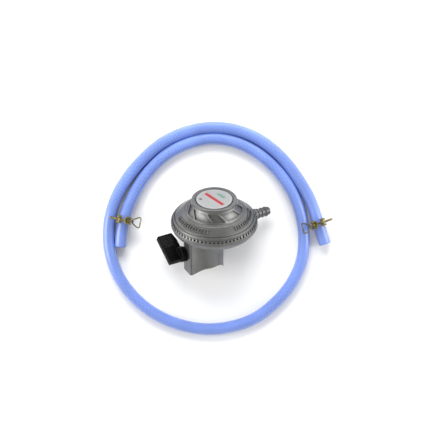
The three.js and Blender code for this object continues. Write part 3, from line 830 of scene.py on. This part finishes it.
def label_foil():
    """Pale foil label printed with plain slanting bars, a ring and a dot; its map is in radii."""
    colours = bpy.context.scene.finish_colours
    finish, tree, shader = new_finish("label_foil", Specular_IOR_Level=0.25)
    grain = placed_effect(tree, surface_grain_effect(), Grain_Scale=2600.0, Cloud_Scale=110.0)
    where = add_node(tree, "ShaderNodeUVMap", uv_map="label_map").outputs[0]

    def bar(middle_at, half_long, half_wide, blur=0.02):
        """A mask of a slanting bar with this middle; the label's radius is 1."""
        moved = add_node(tree, "ShaderNodeMapping",
                         {"Vector": where, "Location": (-middle_at.x, -middle_at.y, 0.0)}).outputs[0]
        upright = add_node(tree, "ShaderNodeMapping", {
            "Vector": moved, "Rotation": (0.0, 0.0, -math.radians(LABEL_SLANT))}).outputs[0]
        parts = add_node(tree, "ShaderNodeSeparateXYZ", {"Vector": upright}).outputs
        sides = [value_range(tree, maths(tree, "ABSOLUTE", parts[axis]), half - blur, half + blur, 1.0, 0.0)
                 for axis, half in (("X", half_long), ("Y", half_wide))]
        return maths(tree, "MULTIPLY", *sides)

    across, along = (Vector((math.cos(math.radians(turn)), math.sin(math.radians(turn))))
                     for turn in (LABEL_SLANT + 90, LABEL_SLANT))
    middle = Vector((0.0, 0.0))
    painted = clouded(tree, grain, dimmed(colours.label, 0.93), colours.label)
    for at, half_long, half_wide, ink in (
            (middle, 0.80, 0.130, (0.33, 0.20, 0.20)),
            (middle, 0.76, 0.090, tuple(colours.stripe)),
            (across * 0.50, 0.30, 0.085, (0.10, 0.19, 0.15)),
            (across * 0.66, 0.20, 0.030, (0.17, 0.24, 0.21)),
            (across * -0.45 + along * 0.15, 0.34, 0.035, (0.19, 0.27, 0.23)),
            (across * -0.58 - along * 0.49, 0.09, 0.070, (0.06, 0.06, 0.065))):
        painted = colour_mix(tree, bar(at, half_long, half_wide), painted, ink)
    radius = add_node(tree, "ShaderNodeVectorMath", {0: where}, operation="LENGTH").outputs["Value"]
    rim = maths(tree, "ABSOLUTE", maths(tree, "SUBTRACT", radius, 0.93))
    painted = colour_mix(tree, value_range(tree, rim, 0.012, 0.028, 0.5, 0.0), painted, (0.35, 0.37, 0.37))
    put_on(tree, shader, painted, grain["Clouds"], (0.3, 0.7, 0.30, 0.42))
    bump(tree, shader, grain["Grain"], 0.12, 0.00008)
    return finish


def turned_metal(name, base, rough):
    """Lathe-turned metal: fine rings and slight tarnish."""
    finish, tree, shader = new_finish(name, Metallic=0.95)
    grain = placed_effect(tree, surface_grain_effect(), Grain_Scale=2200.0, Cloud_Scale=180.0)
    streaks = placed_effect(tree, machining_effect(), Line_Scale=5200.0)["Streaks"]
    tone = clouded(tree, grain, base, dimmed(base, 0.68), 0.35)
    put_on(tree, shader, tone, streaks, (0.3, 0.7, rough - 0.08, rough + 0.1))
    bump(tree, shader, streaks, 0.3, 0.00006)
    return finish


def brass():
    return turned_metal("brass", tuple(bpy.context.scene.finish_colours.brass), 0.30)


def steel():
    return turned_metal("steel", tuple(bpy.context.scene.finish_colours.steel), 0.26)


def black_rubber():
    """Nitrile rubber with a bloom of grey and a matt skin."""
    base = bpy.context.scene.finish_colours.rubber
    finish, tree, shader = new_finish("black_rubber", Specular_IOR_Level=0.25)
    grain = placed_effect(tree, surface_grain_effect(), Grain_Scale=1400.0, Cloud_Scale=130.0)
    tone = clouded(tree, grain, base, dimmed(base, 2.2), 0.4, 0.75)
    put_on(tree, shader, tone, grain["Clouds"], (0.3, 0.7, 0.7, 0.88))
    bump(tree, shader, grain["Grain"], 0.4, 0.0001)
    return finish


def blue_pvc():
    """Soft translucent PVC over a crossing braid, with a glossy skin."""
    colours = bpy.context.scene.finish_colours
    sizes = bpy.context.scene.hose_sizes
    finish, tree, shader = new_finish(
        "blue_pvc", IOR=1.52, Coat_Weight=0.8, Coat_Roughness=0.14, Subsurface_Weight=0.15,
        Subsurface_Radius=(0.25, 0.4, 1.0), Subsurface_Scale=0.004)
    grain = placed_effect(tree, surface_grain_effect(), Grain_Scale=900.0, Cloud_Scale=28.0)
    braid = placed_effect(tree, braid_effect(), Yarns=float(sizes.braid_yarns), Pitch=sizes.braid_pitch)
    between = clouded(tree, grain, dimmed(colours.hose, 0.85), dimmed(colours.hose, 1.15))
    yarn = clouded(tree, grain, dimmed(colours.yarn, 0.9), dimmed(colours.yarn, 1.1))
    tone = colour_mix(tree, braid["Yarn"], between, yarn)
    put_on(tree, shader, tone, grain["Clouds"], (0.3, 0.7, 0.27, 0.38))
    bump(tree, shader, braid["Weave"], 0.35, 0.00012)
    return finish


def yellow_zinc():
    """Yellow-passivated zinc plate: olive and straw clouds, painted dark brown shade in the hollows, bright edges.
    """
    colours = bpy.context.scene.finish_colours
    finish, tree, shader = new_finish("yellow_zinc", Metallic=0.95)
    grain = placed_effect(tree, surface_grain_effect(), Grain_Scale=1700.0, Cloud_Scale=190.0)
    wear = placed_effect(tree, edge_wear_effect(), Width=0.0004, Scuff_Scale=600.0)["Wear"]
    tone = clouded(tree, grain, tuple(colours.zinc_dark), tuple(colours.zinc), 0.36, 0.62)
    olive = colour_mix(tree, value_range(tree, grain["Grain"], 0.55, 0.95, 0.0, 0.5), tone,
                       (0.30, 0.31, 0.13))
    # Painted shade: the plating's colour is darkened towards a deep brown in its hollows, where shade falls.
    hollow = placed_effect(tree, hollow_effect(), Reach=0.0015)["Hollow"]
    shaded = colour_mix(tree, maths(tree, "MULTIPLY", hollow, 0.8), olive, dimmed(colours.zinc_dark, 0.5))
    worn = colour_mix(tree, maths(tree, "MULTIPLY", wear, 0.6), shaded, (0.78, 0.68, 0.38))
    put_on(tree, shader, worn, grain["Clouds"], (0.3, 0.7, 0.26, 0.44))
    bump(tree, shader, grain["Grain"], 0.25, 0.00008)
    return finish


def floor_paper():
    """Pale seamless paper with a faint tooth."""
    base = bpy.context.scene.stage_settings.floor_colour
    finish, tree, shader = new_finish("floor_paper", Roughness=0.9, Specular_IOR_Level=0.1)
    grain = placed_effect(tree, surface_grain_effect(), Grain_Scale=700.0, Cloud_Scale=3.0)
    tree.links.new(clouded(tree, grain, dimmed(base, 0.985), base), shader.inputs["Base Color"])
    return finish


def finish_named(maker):
    """This finish, made once; its name sets it apart from the frame's plain material of the slot."""
    return bpy.data.materials.get(maker.__name__ + FINISH) or maker()


# ---- camera, floor and light, in metres -------------------------------------------------

FLOOR_HALF = 8.0
# Each lamp's place, its two sides and its power in watts. The key light gives soft shade from
# behind, and is left out of reflections so that it doesn't whiten the bonnet's front.
LAMPS = (
    ("key_light", (-0.25, 1.7, 1.5), (1.9, 1.1), 50.0),
    ("left_light", (-1.7, -0.1, 0.95), (0.9, 1.5), 20.0),
    ("right_light", (1.7, 0.25, 0.85), (0.8, 1.3), 15.0),
    ("back_strip", (0.1, 2.1, 0.75), (2.6, 0.35), 11.0),
)


def pale_sky(ambient):
    """White light from all round, weaker from overhead than from the sides."""
    world = bpy.data.worlds.new("studio")
    world.use_nodes = True
    tree = world.node_tree
    sky = tree.nodes["Background"]
    sky.inputs["Color"].default_value = (1.0, 1.0, 1.0, 1.0)
    way = add_node(tree, "ShaderNodeTexCoord").outputs["Generated"]
    height = add_node(tree, "ShaderNodeSeparateXYZ", {"Vector": way}).outputs["Z"]
    tree.links.new(value_range(tree, height, 0.15, 0.95, 1.25 * ambient, 0.55 * ambient),
                   sky.inputs["Strength"])
    return world


class REGULATOR_OT_studio(Operator):
    """Lay the pale floor, hang the soft lights and set the camera over the hose"""
    bl_idname = "regulator.studio"
    bl_label = "Studio"

    def execute(self, context):
        settings = context.scene.stage_settings
        low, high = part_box("hose_tube")
        aim = (low + high) / 2 + Vector((*settings.aim, 0))
        lens = bpy.data.cameras.new("camera")
        lens.sensor_width = 36.0
        lens.lens = lens.sensor_width * settings.camera_height / settings.frame_width
        camera = bpy.data.objects.new("camera", lens)
        camera.location = (aim.x, aim.y, settings.camera_height)
        context.scene.collection.objects.link(camera)
        context.scene.camera = camera
        context.scene.view_settings.view_transform = "Standard"

        bm = bmesh.new()
        bm.faces.new([bm.verts.new((x * FLOOR_HALF, y * FLOOR_HALF, 0))
                      for x, y in ((-1, -1), (1, -1), (1, 1), (-1, 1))])
        floor = held("floor", bm)
        floor.data.materials.append(finish_named(floor_paper))

        for name, place, size, watts in LAMPS:
            light = bpy.data.lights.new(name, "AREA")
            light.shape = "RECTANGLE"
            light.size, light.size_y = size
            light.energy = watts
            lamp = bpy.data.objects.new(name, light)
            lamp.location = place
            lamp.rotation_euler = Vector(place).to_track_quat("Z", "Y").to_euler()
            lamp.visible_camera = False
            lamp.visible_glossy = name != "key_light"
            context.scene.collection.objects.link(lamp)

        context.scene.world = pale_sky(settings.ambient)
        return {"FINISHED"}


# ---- hose and clamps --------------------------------------------------------------------

def hose_mesh(line, outer, inner, sides=40):
    """A thick-walled tube in metres along the line, with its map: x round it, y metres along."""
    bm = bmesh.new()
    hose_map = bm.loops.layers.uv.new("hose_map")
    frames = frames_along(line)
    run = 0.0
    stations = []
    ease = 0.0006

    def station(at, directions, radius, along):
        stations.append((round_ring(bm, at, directions, radius, sides), along))

    start = (line[0] - line[1]).normalized()
    finish = (line[-1] - line[-2]).normalized()
    for i, (point, directions) in enumerate(zip(line, frames)):
        run += (point - line[i - 1]).length if i else 0.0
        if i == 0:
            station(point, directions, outer - ease, run)
            station(point - start * ease, directions, outer, run + ease)
        elif i == len(line) - 1:
            station(point - finish * ease, directions, outer, run - ease)
            station(point, directions, outer - ease, run)
        else:
            station(point, directions, outer, run)
    for i in range(len(line) - 1, -1, -1):
        station(line[i], frames[i], inner, 0.0)
    for (low, from_run), (high, to_run) in zip(stations, stations[1:] + stations[:1]):
        for i in range(sides):
            j = (i + 1) % sides
            face = bm.faces.new((low[i], low[j], high[j], high[i]))
            ends = ((i, from_run), (i + 1, from_run), (i + 1, to_run), (i, to_run))
            for loop, (step, along) in zip(face.loops, ends):
                loop[hose_map].uv = (step / sides, along)
    bmesh.ops.recalc_face_normals(bm, faces=bm.faces)
    return bm


class REGULATOR_OT_hose(Operator):
    """Lay the hose along its route, with its bore open at both cut ends"""
    bl_idname = "regulator.hose"
    bl_label = "Hose"

    def execute(self, context):
        line = even_line(smooth_line(ROUTE, 2400), 0.0022)
        bm = hose_mesh(line, HOSE_R * MM, context.scene.hose_sizes.bore / 2)
        piece(held("hose", bm), blue_pvc, "root", "hose_tube", place=Matrix.Identity(4), angle=50)
        return {"FINISHED"}


def arc(x, z, radius, first, last, y, step=9):
    count = max(2, round(abs(last - first) / step))
    angles = [math.radians(first + (last - first) * i / count) for i in range(count + 1)]
    return [Vector((x + radius * math.cos(a), y, z + radius * math.sin(a))) for a in angles]


def clamp_wires(bm_band, bm_hooks):
    """The band from under the hose up over the plain barrel and back, and the two hooked ends."""
    hook_r = BARREL_R + CLAMP_WIRE_R + PLAY
    band_side = (arc(0, 0, CLAMP_RING_R, 270, 360, CLAMP_SPREAD)
                 + arc(BARREL_X, BARREL_Z, hook_r, 0, 120, CLAMP_SPREAD))
    crossing = Vector((BARREL_X - 2.6, 0, BARREL_Z + hook_r - 0.6))
    mirrored = [Vector((p.x, -p.y, p.z)) for p in reversed(band_side)]
    wire(bm_band, smooth_line(band_side + [crossing] + mirrored, 150), CLAMP_WIRE_R)
    for side in (-1, 1):
        hook = (arc(0, 0, CLAMP_RING_R, 270, 180, side * CLAMP_SPREAD)
                + arc(-BARREL_X, BARREL_Z, hook_r, 180, 60, side * CLAMP_SPREAD))
        wire(bm_hooks, smooth_line(hook, 70), CLAMP_WIRE_R)


def barrel(name, x):
    """A round nut across the clamp with a hole for the screw."""
    body = held(name, disc(BARREL_R, -BARREL_HALF, BARREL_HALF, 0.35, 48), ALONG_Y)
    hole = held("hole", disc(SCREW_R + PLAY, -5, 5, steps=36), ALONG_X)
    made = cut(body, hole)
    made.data.transform(on_axis(x, 0, BARREL_Z))
    return made


def threaded_shank(pitch, depth, sides=24, steps_per_turn=8):
    """A screw's shank from its tip to its collar, with its thread cut as one winding ridge."""
    bm = bmesh.new()
    rise = pitch / steps_per_turn
    count = int((SCREW_COLLAR - SCREW_TIP) / rise)
    rings = []
    for step in range(count + 1):
        z = SCREW_TIP + step * rise
        taper = min(1.0, 0.55 + 0.5 * (z - SCREW_TIP) / SCREW_R)
        fade = min(1.0, max(0.0, (SCREW_COLLAR - 1.2 - z) / 0.8))
        ring = []
        for i in range(sides):
            turn = i / sides
            wave = abs(((z / pitch - turn) % 1.0) - 0.5) * 2
            radius = (SCREW_R - depth * wave * fade) * taper
            ring.append(bm.verts.new((radius * math.cos(2 * math.pi * turn),
                                      radius * math.sin(2 * math.pi * turn), z)))
        rings.append(ring)
    return skinned(bm, rings)


def thumb_screw(name, sizes):
    """The clamp's screw: threaded shank, collar, and a flattened tab with an eye."""
    shank = held(name, threaded_shank(sizes.thread_pitch / MM, sizes.thread_depth / MM))
    collar = held("collar", disc(1.85, SCREW_COLLAR - 0.1, SCREW_HEAD, 0.25, 48))
    tab = held("tab", block(-1.9, 1.9, -0.8, 0.8, SCREW_HEAD - 0.6, SCREW_HEAD + 3.4, 0.35))
    eye = held("eye", disc(HANDLE_WIRE_R + PLAY, -3, 3, steps=32), ALONG_Y, on_axis(0, 0, EYE_X))
    made = cut(joined(shank, collar, tab), eye)
    made.data.transform(on_axis(0, 0, BARREL_Z) @ ALONG_X)
    return made


def wire_handle(name):
    """The triangle of wire that turns the screw, hooked through its eye."""
    near = EYE_X
    far = near + HANDLE_LENGTH
    half = HANDLE_HALF
    corners = [(near, -1.3), (near, 0), (near, 1.3), (near + 1.6, 2.6), (far - 1.2, half), (far, half - 1),
               (far, 0), (far, 1 - half), (far - 1.2, -half), (near + 1.6, -2.6)]
    line = smooth_line([(x, y, BARREL_Z) for x, y in corners], 110, closed=True)
    return held(name, wire(bmesh.new(), line, HANDLE_WIRE_R, sides=14, closed=True))


class REGULATOR_OT_clamps(Operator):
    """Make both wire hose clamps, each with its screw, barrels, band and handle"""
    bl_idname = "regulator.clamps"
    bl_label = "Hose clamps"

    def execute(self, context):
        sizes = context.scene.clamp_sizes
        for clamp in CLAMPS:
            place = clamp_place(clamp)
            nut, screw = clamp + "_nut", clamp + "_screw"
            band, hooks = bmesh.new(), bmesh.new()
            clamp_wires(band, hooks)
            for part, make, body, angle in (
                    ("wire_band", lambda name: held(name, band), "root", 40),
                    ("plain_barrel", lambda name: barrel(name, BARREL_X), "root", 40),
                    ("threaded_barrel", lambda name: barrel(name, -BARREL_X), nut, 40),
                    ("thumb_screw", lambda name: thumb_screw(name, sizes), screw, 60),
                    ("wire_handle", wire_handle, screw, 40)):
                node = f"{clamp}_{part}"
                piece(make(node + "_piece"), yellow_zinc, body, node, place=place, angle=angle)
            hooked = piece(held(clamp + "_wire_hooks_piece", hooks), yellow_zinc, None, place=place, angle=40)
            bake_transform(hooked)
        return {"FINISHED"}


# ---- regulator --------------------------------------------------------------------------

def window_outline():
    """What is open below the arch of one window's top edge, in x and z."""
    w = WINDOW_HALF
    bottom = SKIRT_BOTTOM

    def curve(a, b, c, d, steps=14):
        a, b, c, d = (Vector(p) for p in (a, b, c, d))
        return [a * (1 - t) ** 3 + 3 * b * t * (1 - t) ** 2 + 3 * c * t ** 2 * (1 - t) + d * t ** 3
                for t in (i / steps for i in range(steps + 1))]

    right = curve((w, bottom), (w - 1.6, bottom + 3.5), (w - 5.2, -1.5), (w - 13.2, 0))
    left = [Vector((-x, z)) for x, z in reversed(right)]
    return [Vector((-w - 2, bottom - 3)), Vector((w + 2, bottom - 3)), *right, *left]


def socket_part():
    """The skirted socket, its flat for the lever, and the bowl of the gas chamber above it."""
    lever_way = on_axis(0, LEVER_PIVOT.y, LEVER_PIVOT.z)
    outlet_way = on_axis(BONNET_X, 0, OUTLET_Z)
    bowl = [(0, 26), (24, 28), (41.5, 33.8), (FLANGE_RIM_R, 36), (45.9, 38.6), (47.2, 41.5), (LIP_R, LIP_Z),
            (45.95, LIP_Z), (45.9, 42.6), (35, 42.6), (35, 37), (32, 32.5), (0, 32.5)]
    body = held("body_casting", eased_turning(bowl, 1.0, 4, 144), on_axis(BONNET_X))
    skirt = held("skirt", eased_turning([(0, SKIRT_BOTTOM), (SOCKET_R, SKIRT_BOTTOM), (SOCKET_R, SKIRT_TOP),
                                         (0, SKIRT_TOP)], 0.6, 3, 128))
    flat = held("flat", block(-SOCKET_R, -15, -7.7, 7.7, SKIRT_BOTTOM, SKIRT_TOP, 0.5))
    boss = held("boss", disc(7.6, BOSS_FOOT, 47.6, 0.8, 64), ALONG_X, outlet_way)
    boss_root = held("boss_root", eased_turning([(0, BOSS_FOOT), (9.4, BOSS_FOOT), (7.5, 46.2), (0, 46.2)],
                                                0.6, 2, 64), ALONG_X, outlet_way)
    joined(body, skirt, flat, boss, boss_root)

    bore = [(0, SKIRT_BOTTOM - 1), (18.3, SKIRT_BOTTOM - 1), (18.1, SKIRT_BOTTOM), (SOCKET_BORE_R, -11.2),
            (SOCKET_BORE_R, 6.2), (15.2, 6.2), (15.2, 16), (2.9, 16), (2.9, 17.5), (5.5, 17.5), (5.5, 24.4),
            (6.3, 24.4), (6.3, 34), (0, 34)]
    chamber = [(0, 32.6), (31.9, 32.6), (34.9, 37), (34.9, 50), (0, 50)]
    cut(body,
        held("chamber", turned(chamber, 96), on_axis(BONNET_X)),
        held("bore", turned(bore, 96)),
        held("windows", extruded(window_outline(), -30, 30), ALONG_Y),
        held("bush_hole", disc(5.7, -24, -10, steps=48), ALONG_X, lever_way),
        held("far_bearing", disc(2.9, 10, 17.5, steps=40), ALONG_X, lever_way),
        held("outlet_bore", disc(4.6, 40, 50, steps=48), ALONG_X, outlet_way),
        held("outlet_way", disc(BARB_BORE_R, 30, 41, steps=40), ALONG_X, outlet_way))
    joined(body, *[held("lug", block(1.4, 5.8, 8 * side - 1, 8 * side + 1, SKIRT_TOP, 39.4, 0.25))
                   for side in (-1, 1)])
    return cut(body, held("pin_hole", disc(0.9, -12, 12, steps=24), ALONG_Y, on_axis(3.6, 0, 37)))


class REGULATOR_OT_body(Operator):
    """Cast the regulator's lower body, with its crimped lip"""
    bl_idname = "regulator.body"
    bl_label = "Lower body"

    def execute(self, context):
        sizes = context.scene.regulator_sizes
        piece(socket_part(), cast_alloy, "root", "lower_body", angle=28)
        teeth = grown("crimp_teeth", studs_on_arc_tree(), {
            "Count": sizes.tooth_count, "Radius": 45.9, "Height": LIP_Z + 0.6,
            "First Angle": 0.02, "Step Angle": 2 * math.pi / sizes.tooth_count,
            "Lean": math.radians(-20), "Size": (2.1, sizes.tooth_width / MM, 3.3),
            "Roundness": 0.55, "Variation": 0.12, "Seed": 4, "Material": finish_named(cast_alloy)})
        teeth.data.transform(on_axis(BONNET_X))
        piece(teeth, cast_alloy, "root", angle=50)
        return {"FINISHED"}


def cone_panel(middle, width, depth, steps=18):
    """A cutter for the shallow panel between two of the cone's ribs; the angles are in degrees."""
    (low_r, low_z), (high_r, high_z) = CONE_LOW, CONE_HIGH
    slope = math.atan2(low_r - high_r, high_z - low_z)
    above = 4.0
    corners = ((PANEL_FOOT, -depth), (PANEL_FOOT, above), (PANEL_HEAD, above), (PANEL_HEAD, -depth))
    bm = bmesh.new()
    rings = []
    for step in range(steps + 1):
        ring = []
        for up, out in corners:
            angle = math.radians(middle + width * (step / steps - 0.5) + PANEL_SWIRL * (0.5 - up))
            radius = low_r + (high_r - low_r) * up + out * math.cos(slope)
            height = low_z + (high_z - low_z) * up + out * math.sin(slope)
            ring.append(bm.verts.new((radius * math.cos(angle), radius * math.sin(angle), height)))
        rings.append(ring)
    return held("panel", skinned(bm, rings), on_axis(BONNET_X))


class REGULATOR_OT_bonnet(Operator):
    """Turn the bonnet cover, let its panels in and raise its marks"""
    bl_idname = "regulator.bonnet"
    bl_label = "Bonnet cover"

    def execute(self, context):
        sizes = context.scene.regulator_sizes
        outline = [
            (35.5, 43.9), (45.6, 43.9), (45.6, 46.0), (44.9, 48.6), (44.5, 50.0), (43.9, 50.5), (43.3, 49.8),
            (42.8, 50.1), (42.5, 51.5), (41.6, 52.4), (34.6, 57.8), (33.4, 58.3), (32.6, 58.1), CONE_LOW,
            CONE_HIGH, (CAP_R, 70.9), (CAP_R, 72.3), (24.0, CAP_Z), (21.3, CAP_Z), (20.5, 72.2),
            (LABEL_R + 0.4, 71.9),
            (12.4, 71.9), (12.4, 62.2), (15.5, 62.2), (16.2, 68.5), (21.3, 68.5), (28, 56.8), (33.4, 55.4),
            (41.5, 49), (41.5, 46.2), (35.5, 45.6)]
        cover = held("bonnet_cover_casting", turned(fillet(outline, sizes.edge / MM, 3), 180),
                     on_axis(BONNET_X))
        depth = sizes.panel_depth / MM
        rib = math.degrees(2 * sizes.rib_width / MM / (CONE_LOW[0] + CONE_HIGH[0]))
        step = 360.0 / PANEL_PAIRS
        cut(cover, *[cone_panel(PANEL_FIRST + step * (i + shift), width - rib, depth)
                     for i in range(PANEL_PAIRS)
                     for shift, width in ((0.0, PANEL_WIDE), (0.5, PANEL_NARROW))])
        piece(softened(cover, 0.25), cast_alloy, "root", "bonnet_cover", angle=30)

        pitch = sizes.mark_pitch / MM
        rows = ((38.6, 55.0, sizes.mark_length / MM, 1.0), (38.6 - 1.6, 56.2, 1.3, 0.5),
                (38.6 + 1.7, 53.75, 1.1, 0.8))
        for name, first, last, seed in (("marks_left", 166.0, 238.0, 11), ("marks_right", -82.0, -12.0, 23)):
            for row, (radius, height, long, closeness) in enumerate(rows):
                step = pitch / radius * closeness
                marks = grown(f"{name}_{row + 1}", studs_on_arc_tree(), {
                    "Count": int(math.radians(last - first) / step), "Radius": radius, "Height": height,
                    "First Angle": math.radians(first), "Step Angle": step,
                    "Lean": math.atan2(5.5, 7.3), "Size": (long, 1.0, 1.5), "Roundness": 0.4,
                    "Variation": 0.35, "Seed": seed + row, "Material": finish_named(cast_alloy)})
                marks.data.transform(on_axis(BONNET_X))
                piece(marks, cast_alloy, "root", angle=50)
        return {"FINISHED"}


class REGULATOR_OT_label(Operator):
    """Stick the printed foil label in the cap's recess"""
    bl_idname = "regulator.label"
    bl_label = "Label"

    def execute(self, context):
        top = LABEL_Z + LABEL_THICK
        outline = [(0, LABEL_Z), (LABEL_R, LABEL_Z), (LABEL_R, top - 0.15), (LABEL_R - 0.5, top), (0, top)]
        made = held("label", eased_turning(outline, 0.15, 2, 128))
        layer = made.data.uv_layers.new(name="label_map")
        for loop in made.data.loops:
            at = made.data.vertices[loop.vertex_index].co
            layer.data[loop.index].uv = (at.x / LABEL_R, at.y / LABEL_R)
        made.data.transform(on_axis(BONNET_X))
        piece(made, label_foil, "root", "label_disc", angle=40)
        return {"FINISHED"}


class REGULATOR_OT_lever(Operator):
    """Mould the control lever, with its hub and grip"""
    bl_idname = "regulator.lever"
    bl_label = "Control lever"

    def execute(self, context):
        about_pivot = Matrix.Translation(LEVER_PIVOT - Vector((LEVER_PIVOT.x, 0, 0)))
        tilt = Matrix.Rotation(math.radians(LEVER_TILT), 4, "X")
        face_on = Matrix.Rotation(math.radians(-90), 4, "Y")
        outline = fillet([(LEVER_HUB_X, LEVER_NEAR), (LEVER_HUB_X, LEVER_SHOULDER), (LEVER_TIP, LEVER_FAR),
                          (LEVER_REACH, LEVER_FAR), (LEVER_REACH, LEVER_NEAR)], 0.7, 3)
        bm = extruded(outline, LEVER_BACK, LEVER_FRONT)
        rims = [edge for edge in bm.edges if abs(edge.verts[0].co.z - edge.verts[1].co.z) < TINY]
        bmesh.ops.bevel(bm, geom=rims, offset=0.4, segments=3, profile=0.5, affect="EDGES")
        plate = held("control_lever_moulding", bm, tilt)
        hub = held("lever_hub", disc(LEVER_HUB_R, -LEVER_HUB_X, LEVER_HUB_FRONT, 0.6), face_on)
        hollow = held("hollow", block(LEVER_REACH + 1.8, LEVER_HUB_X - 2.4, 10.5, LEVER_FAR - 2.2,
                                      LEVER_BACK - 1, LEVER_FRONT - 1.9, 0.5), tilt)
        spindle = held("spindle_hole", disc(2.9, 20, 25.6, steps=40), face_on)
        cut(joined(plate, hub), hollow, spindle)
        plate.data.transform(about_pivot)
        piece(plate, black_plastic, "lever", "control_lever", angle=30)
        ribs = grown("lever_grip_ribs", studs_in_row_tree(), {
            "Count": 7, "Start": (-32.5, 13.5, LEVER_FRONT), "Pitch": 2.0, "Size": (13.0, 0.9, 0.5),
            "Roundness": 0.5, "Material": finish_named(black_plastic)})
        ribs.data.transform(about_pivot @ tilt)
        piece(ribs, black_plastic, "lever", angle=50)
        return {"FINISHED"}


class REGULATOR_OT_outlet(Operator):
    """Turn the outlet's hose barb"""
    bl_idname = "regulator.outlet"
    bl_label = "Outlet barb"

    def execute(self, context):
        outline = [(BARB_BORE_R, 41), (4.3, 41), (4.3, BARB_COLLAR), (6.2, BARB_COLLAR),
                   (6.2, BARB_COLLAR + 2.4), (4.7, BARB_COLLAR + 2.6)]
        for ridge in range(3):
            at = BARB_COLLAR + 3.6 + 4.5 * ridge
            outline += [(4.7, at), (5.6, at + 0.25), (5.6, at + 1.1), (4.7, at + 3.4)]
        outline += [(4.3, BARB_TIP - 0.8), (3.9, BARB_TIP), (BARB_BORE_R, BARB_TIP)]
        made = held("outlet_barb_turning", turned(fillet(outline, 0.22, 2), 96), ALONG_X,
                    on_axis(BONNET_X, 0, OUTLET_Z))
        piece(made, cast_alloy, "root", "outlet_barb", angle=24)
        return {"FINISHED"}


class REGULATOR_OT_moving_inside(Operator):
    """Make what bends or shortens inside: both springs and the diaphragm"""
    bl_idname = "regulator.moving_inside"
    bl_label = "Springs and diaphragm"

    def execute(self, context):
        for node, body, x, turns, radius, wire_r, low, high in (
                ("main_spring", "diaphragm_stack", BONNET_X, 5.0, 10.6, 1.1, 48.2, 62.9),
                ("plunger_spring", "plunger", 0.0, 3.0, 4.1, 0.5, 17.8, 22.0)):
            made = grown(node + "_coil", wire_coil_tree(), {
                "Turns": turns, "Radius": radius, "Height": high - low - 2 * wire_r,
                "Wire Radius": wire_r, "Material": finish_named(steel)})
            made.data.transform(on_axis(x, 0, low + wire_r))
            piece(made, steel, None, node, angle=60)
            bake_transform(made)

        outline = [(2.1, 45.5), (24, 45.5), (28, 44.9), (31, 42.9), (45.3, 42.9), (45.3, 43.6), (32, 43.6),
                   (28.8, 45.8), (24.6, 46.3), (2.1, 46.3)]
        made = held("diaphragm_rubber", turned(fillet(outline, 0.8, 4), 128), on_axis(BONNET_X))
        piece(made, black_rubber, None, "diaphragm", angle=50)
        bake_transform(made)
        return {"FINISHED"}


class REGULATOR_OT_carried_parts(Operator):
    """Finish the parts that keep the shape the frame gives them"""
    bl_idname = "regulator.carried_parts"
    bl_label = "Inner parts"

    def execute(self, context):
        finishes = {maker.__name__: maker for maker in (brass, steel, black_rubber, cast_alloy, yellow_zinc)}
        slots = {part["node"]: part["material_slot"] for part in frame["record"]["subparts"]}
        for name, node in frame["nodes"].items():
            if node.hide_render:
                continue
            node.data.materials.clear()
            node.data.materials.append(finish_named(finishes[slots[name]]))
        return {"FINISHED"}


# ---- panel and registration -------------------------------------------------------------

OPERATORS = (REGULATOR_OT_studio, REGULATOR_OT_hose, REGULATOR_OT_clamps, REGULATOR_OT_body,
             REGULATOR_OT_bonnet, REGULATOR_OT_label, REGULATOR_OT_lever, REGULATOR_OT_outlet,
             REGULATOR_OT_moving_inside, REGULATOR_OT_carried_parts)
SETTINGS = {"regulator_sizes": RegulatorSizes, "hose_sizes": HoseSizes, "clamp_sizes": ClampSizes,
            "finish_colours": FinishColours, "stage_settings": StageSettings}


class VIEW3D_PT_regulator(Panel):
    """Sizes, colours and pieces of the regulator and hose"""
    bl_idname = "VIEW3D_PT_regulator"
    bl_label = "Gas regulator and hose"
    bl_space_type = "VIEW_3D"
    bl_region_type = "UI"
    bl_category = "Regulator"

    def draw(self, context):
        for name, group in SETTINGS.items():
            box = self.layout.box()
            box.label(text=name.replace("_", " ").capitalize())
            for setting in group.__annotations__:
                box.prop(getattr(context.scene, name), setting)
        for operator in OPERATORS:
            self.layout.operator(operator.bl_idname)


def register():
    for group in SETTINGS.values():
        bpy.utils.register_class(group)
    for name, group in SETTINGS.items():
        setattr(bpy.types.Scene, name, PointerProperty(type=group))
    for operator in (*OPERATORS, VIEW3D_PT_regulator):
        bpy.utils.register_class(operator)


def unregister():
    for operator in (VIEW3D_PT_regulator, *reversed(OPERATORS)):
        bpy.utils.unregister_class(operator)
    for name, group in SETTINGS.items():
        delattr(bpy.types.Scene, name)
        bpy.utils.unregister_class(group)


def main():
    register()
    for operator in OPERATORS:
        area, action = operator.bl_idname.split(".")
        getattr(getattr(bpy.ops, area), action)()


if __name__ == "__main__":
    main()
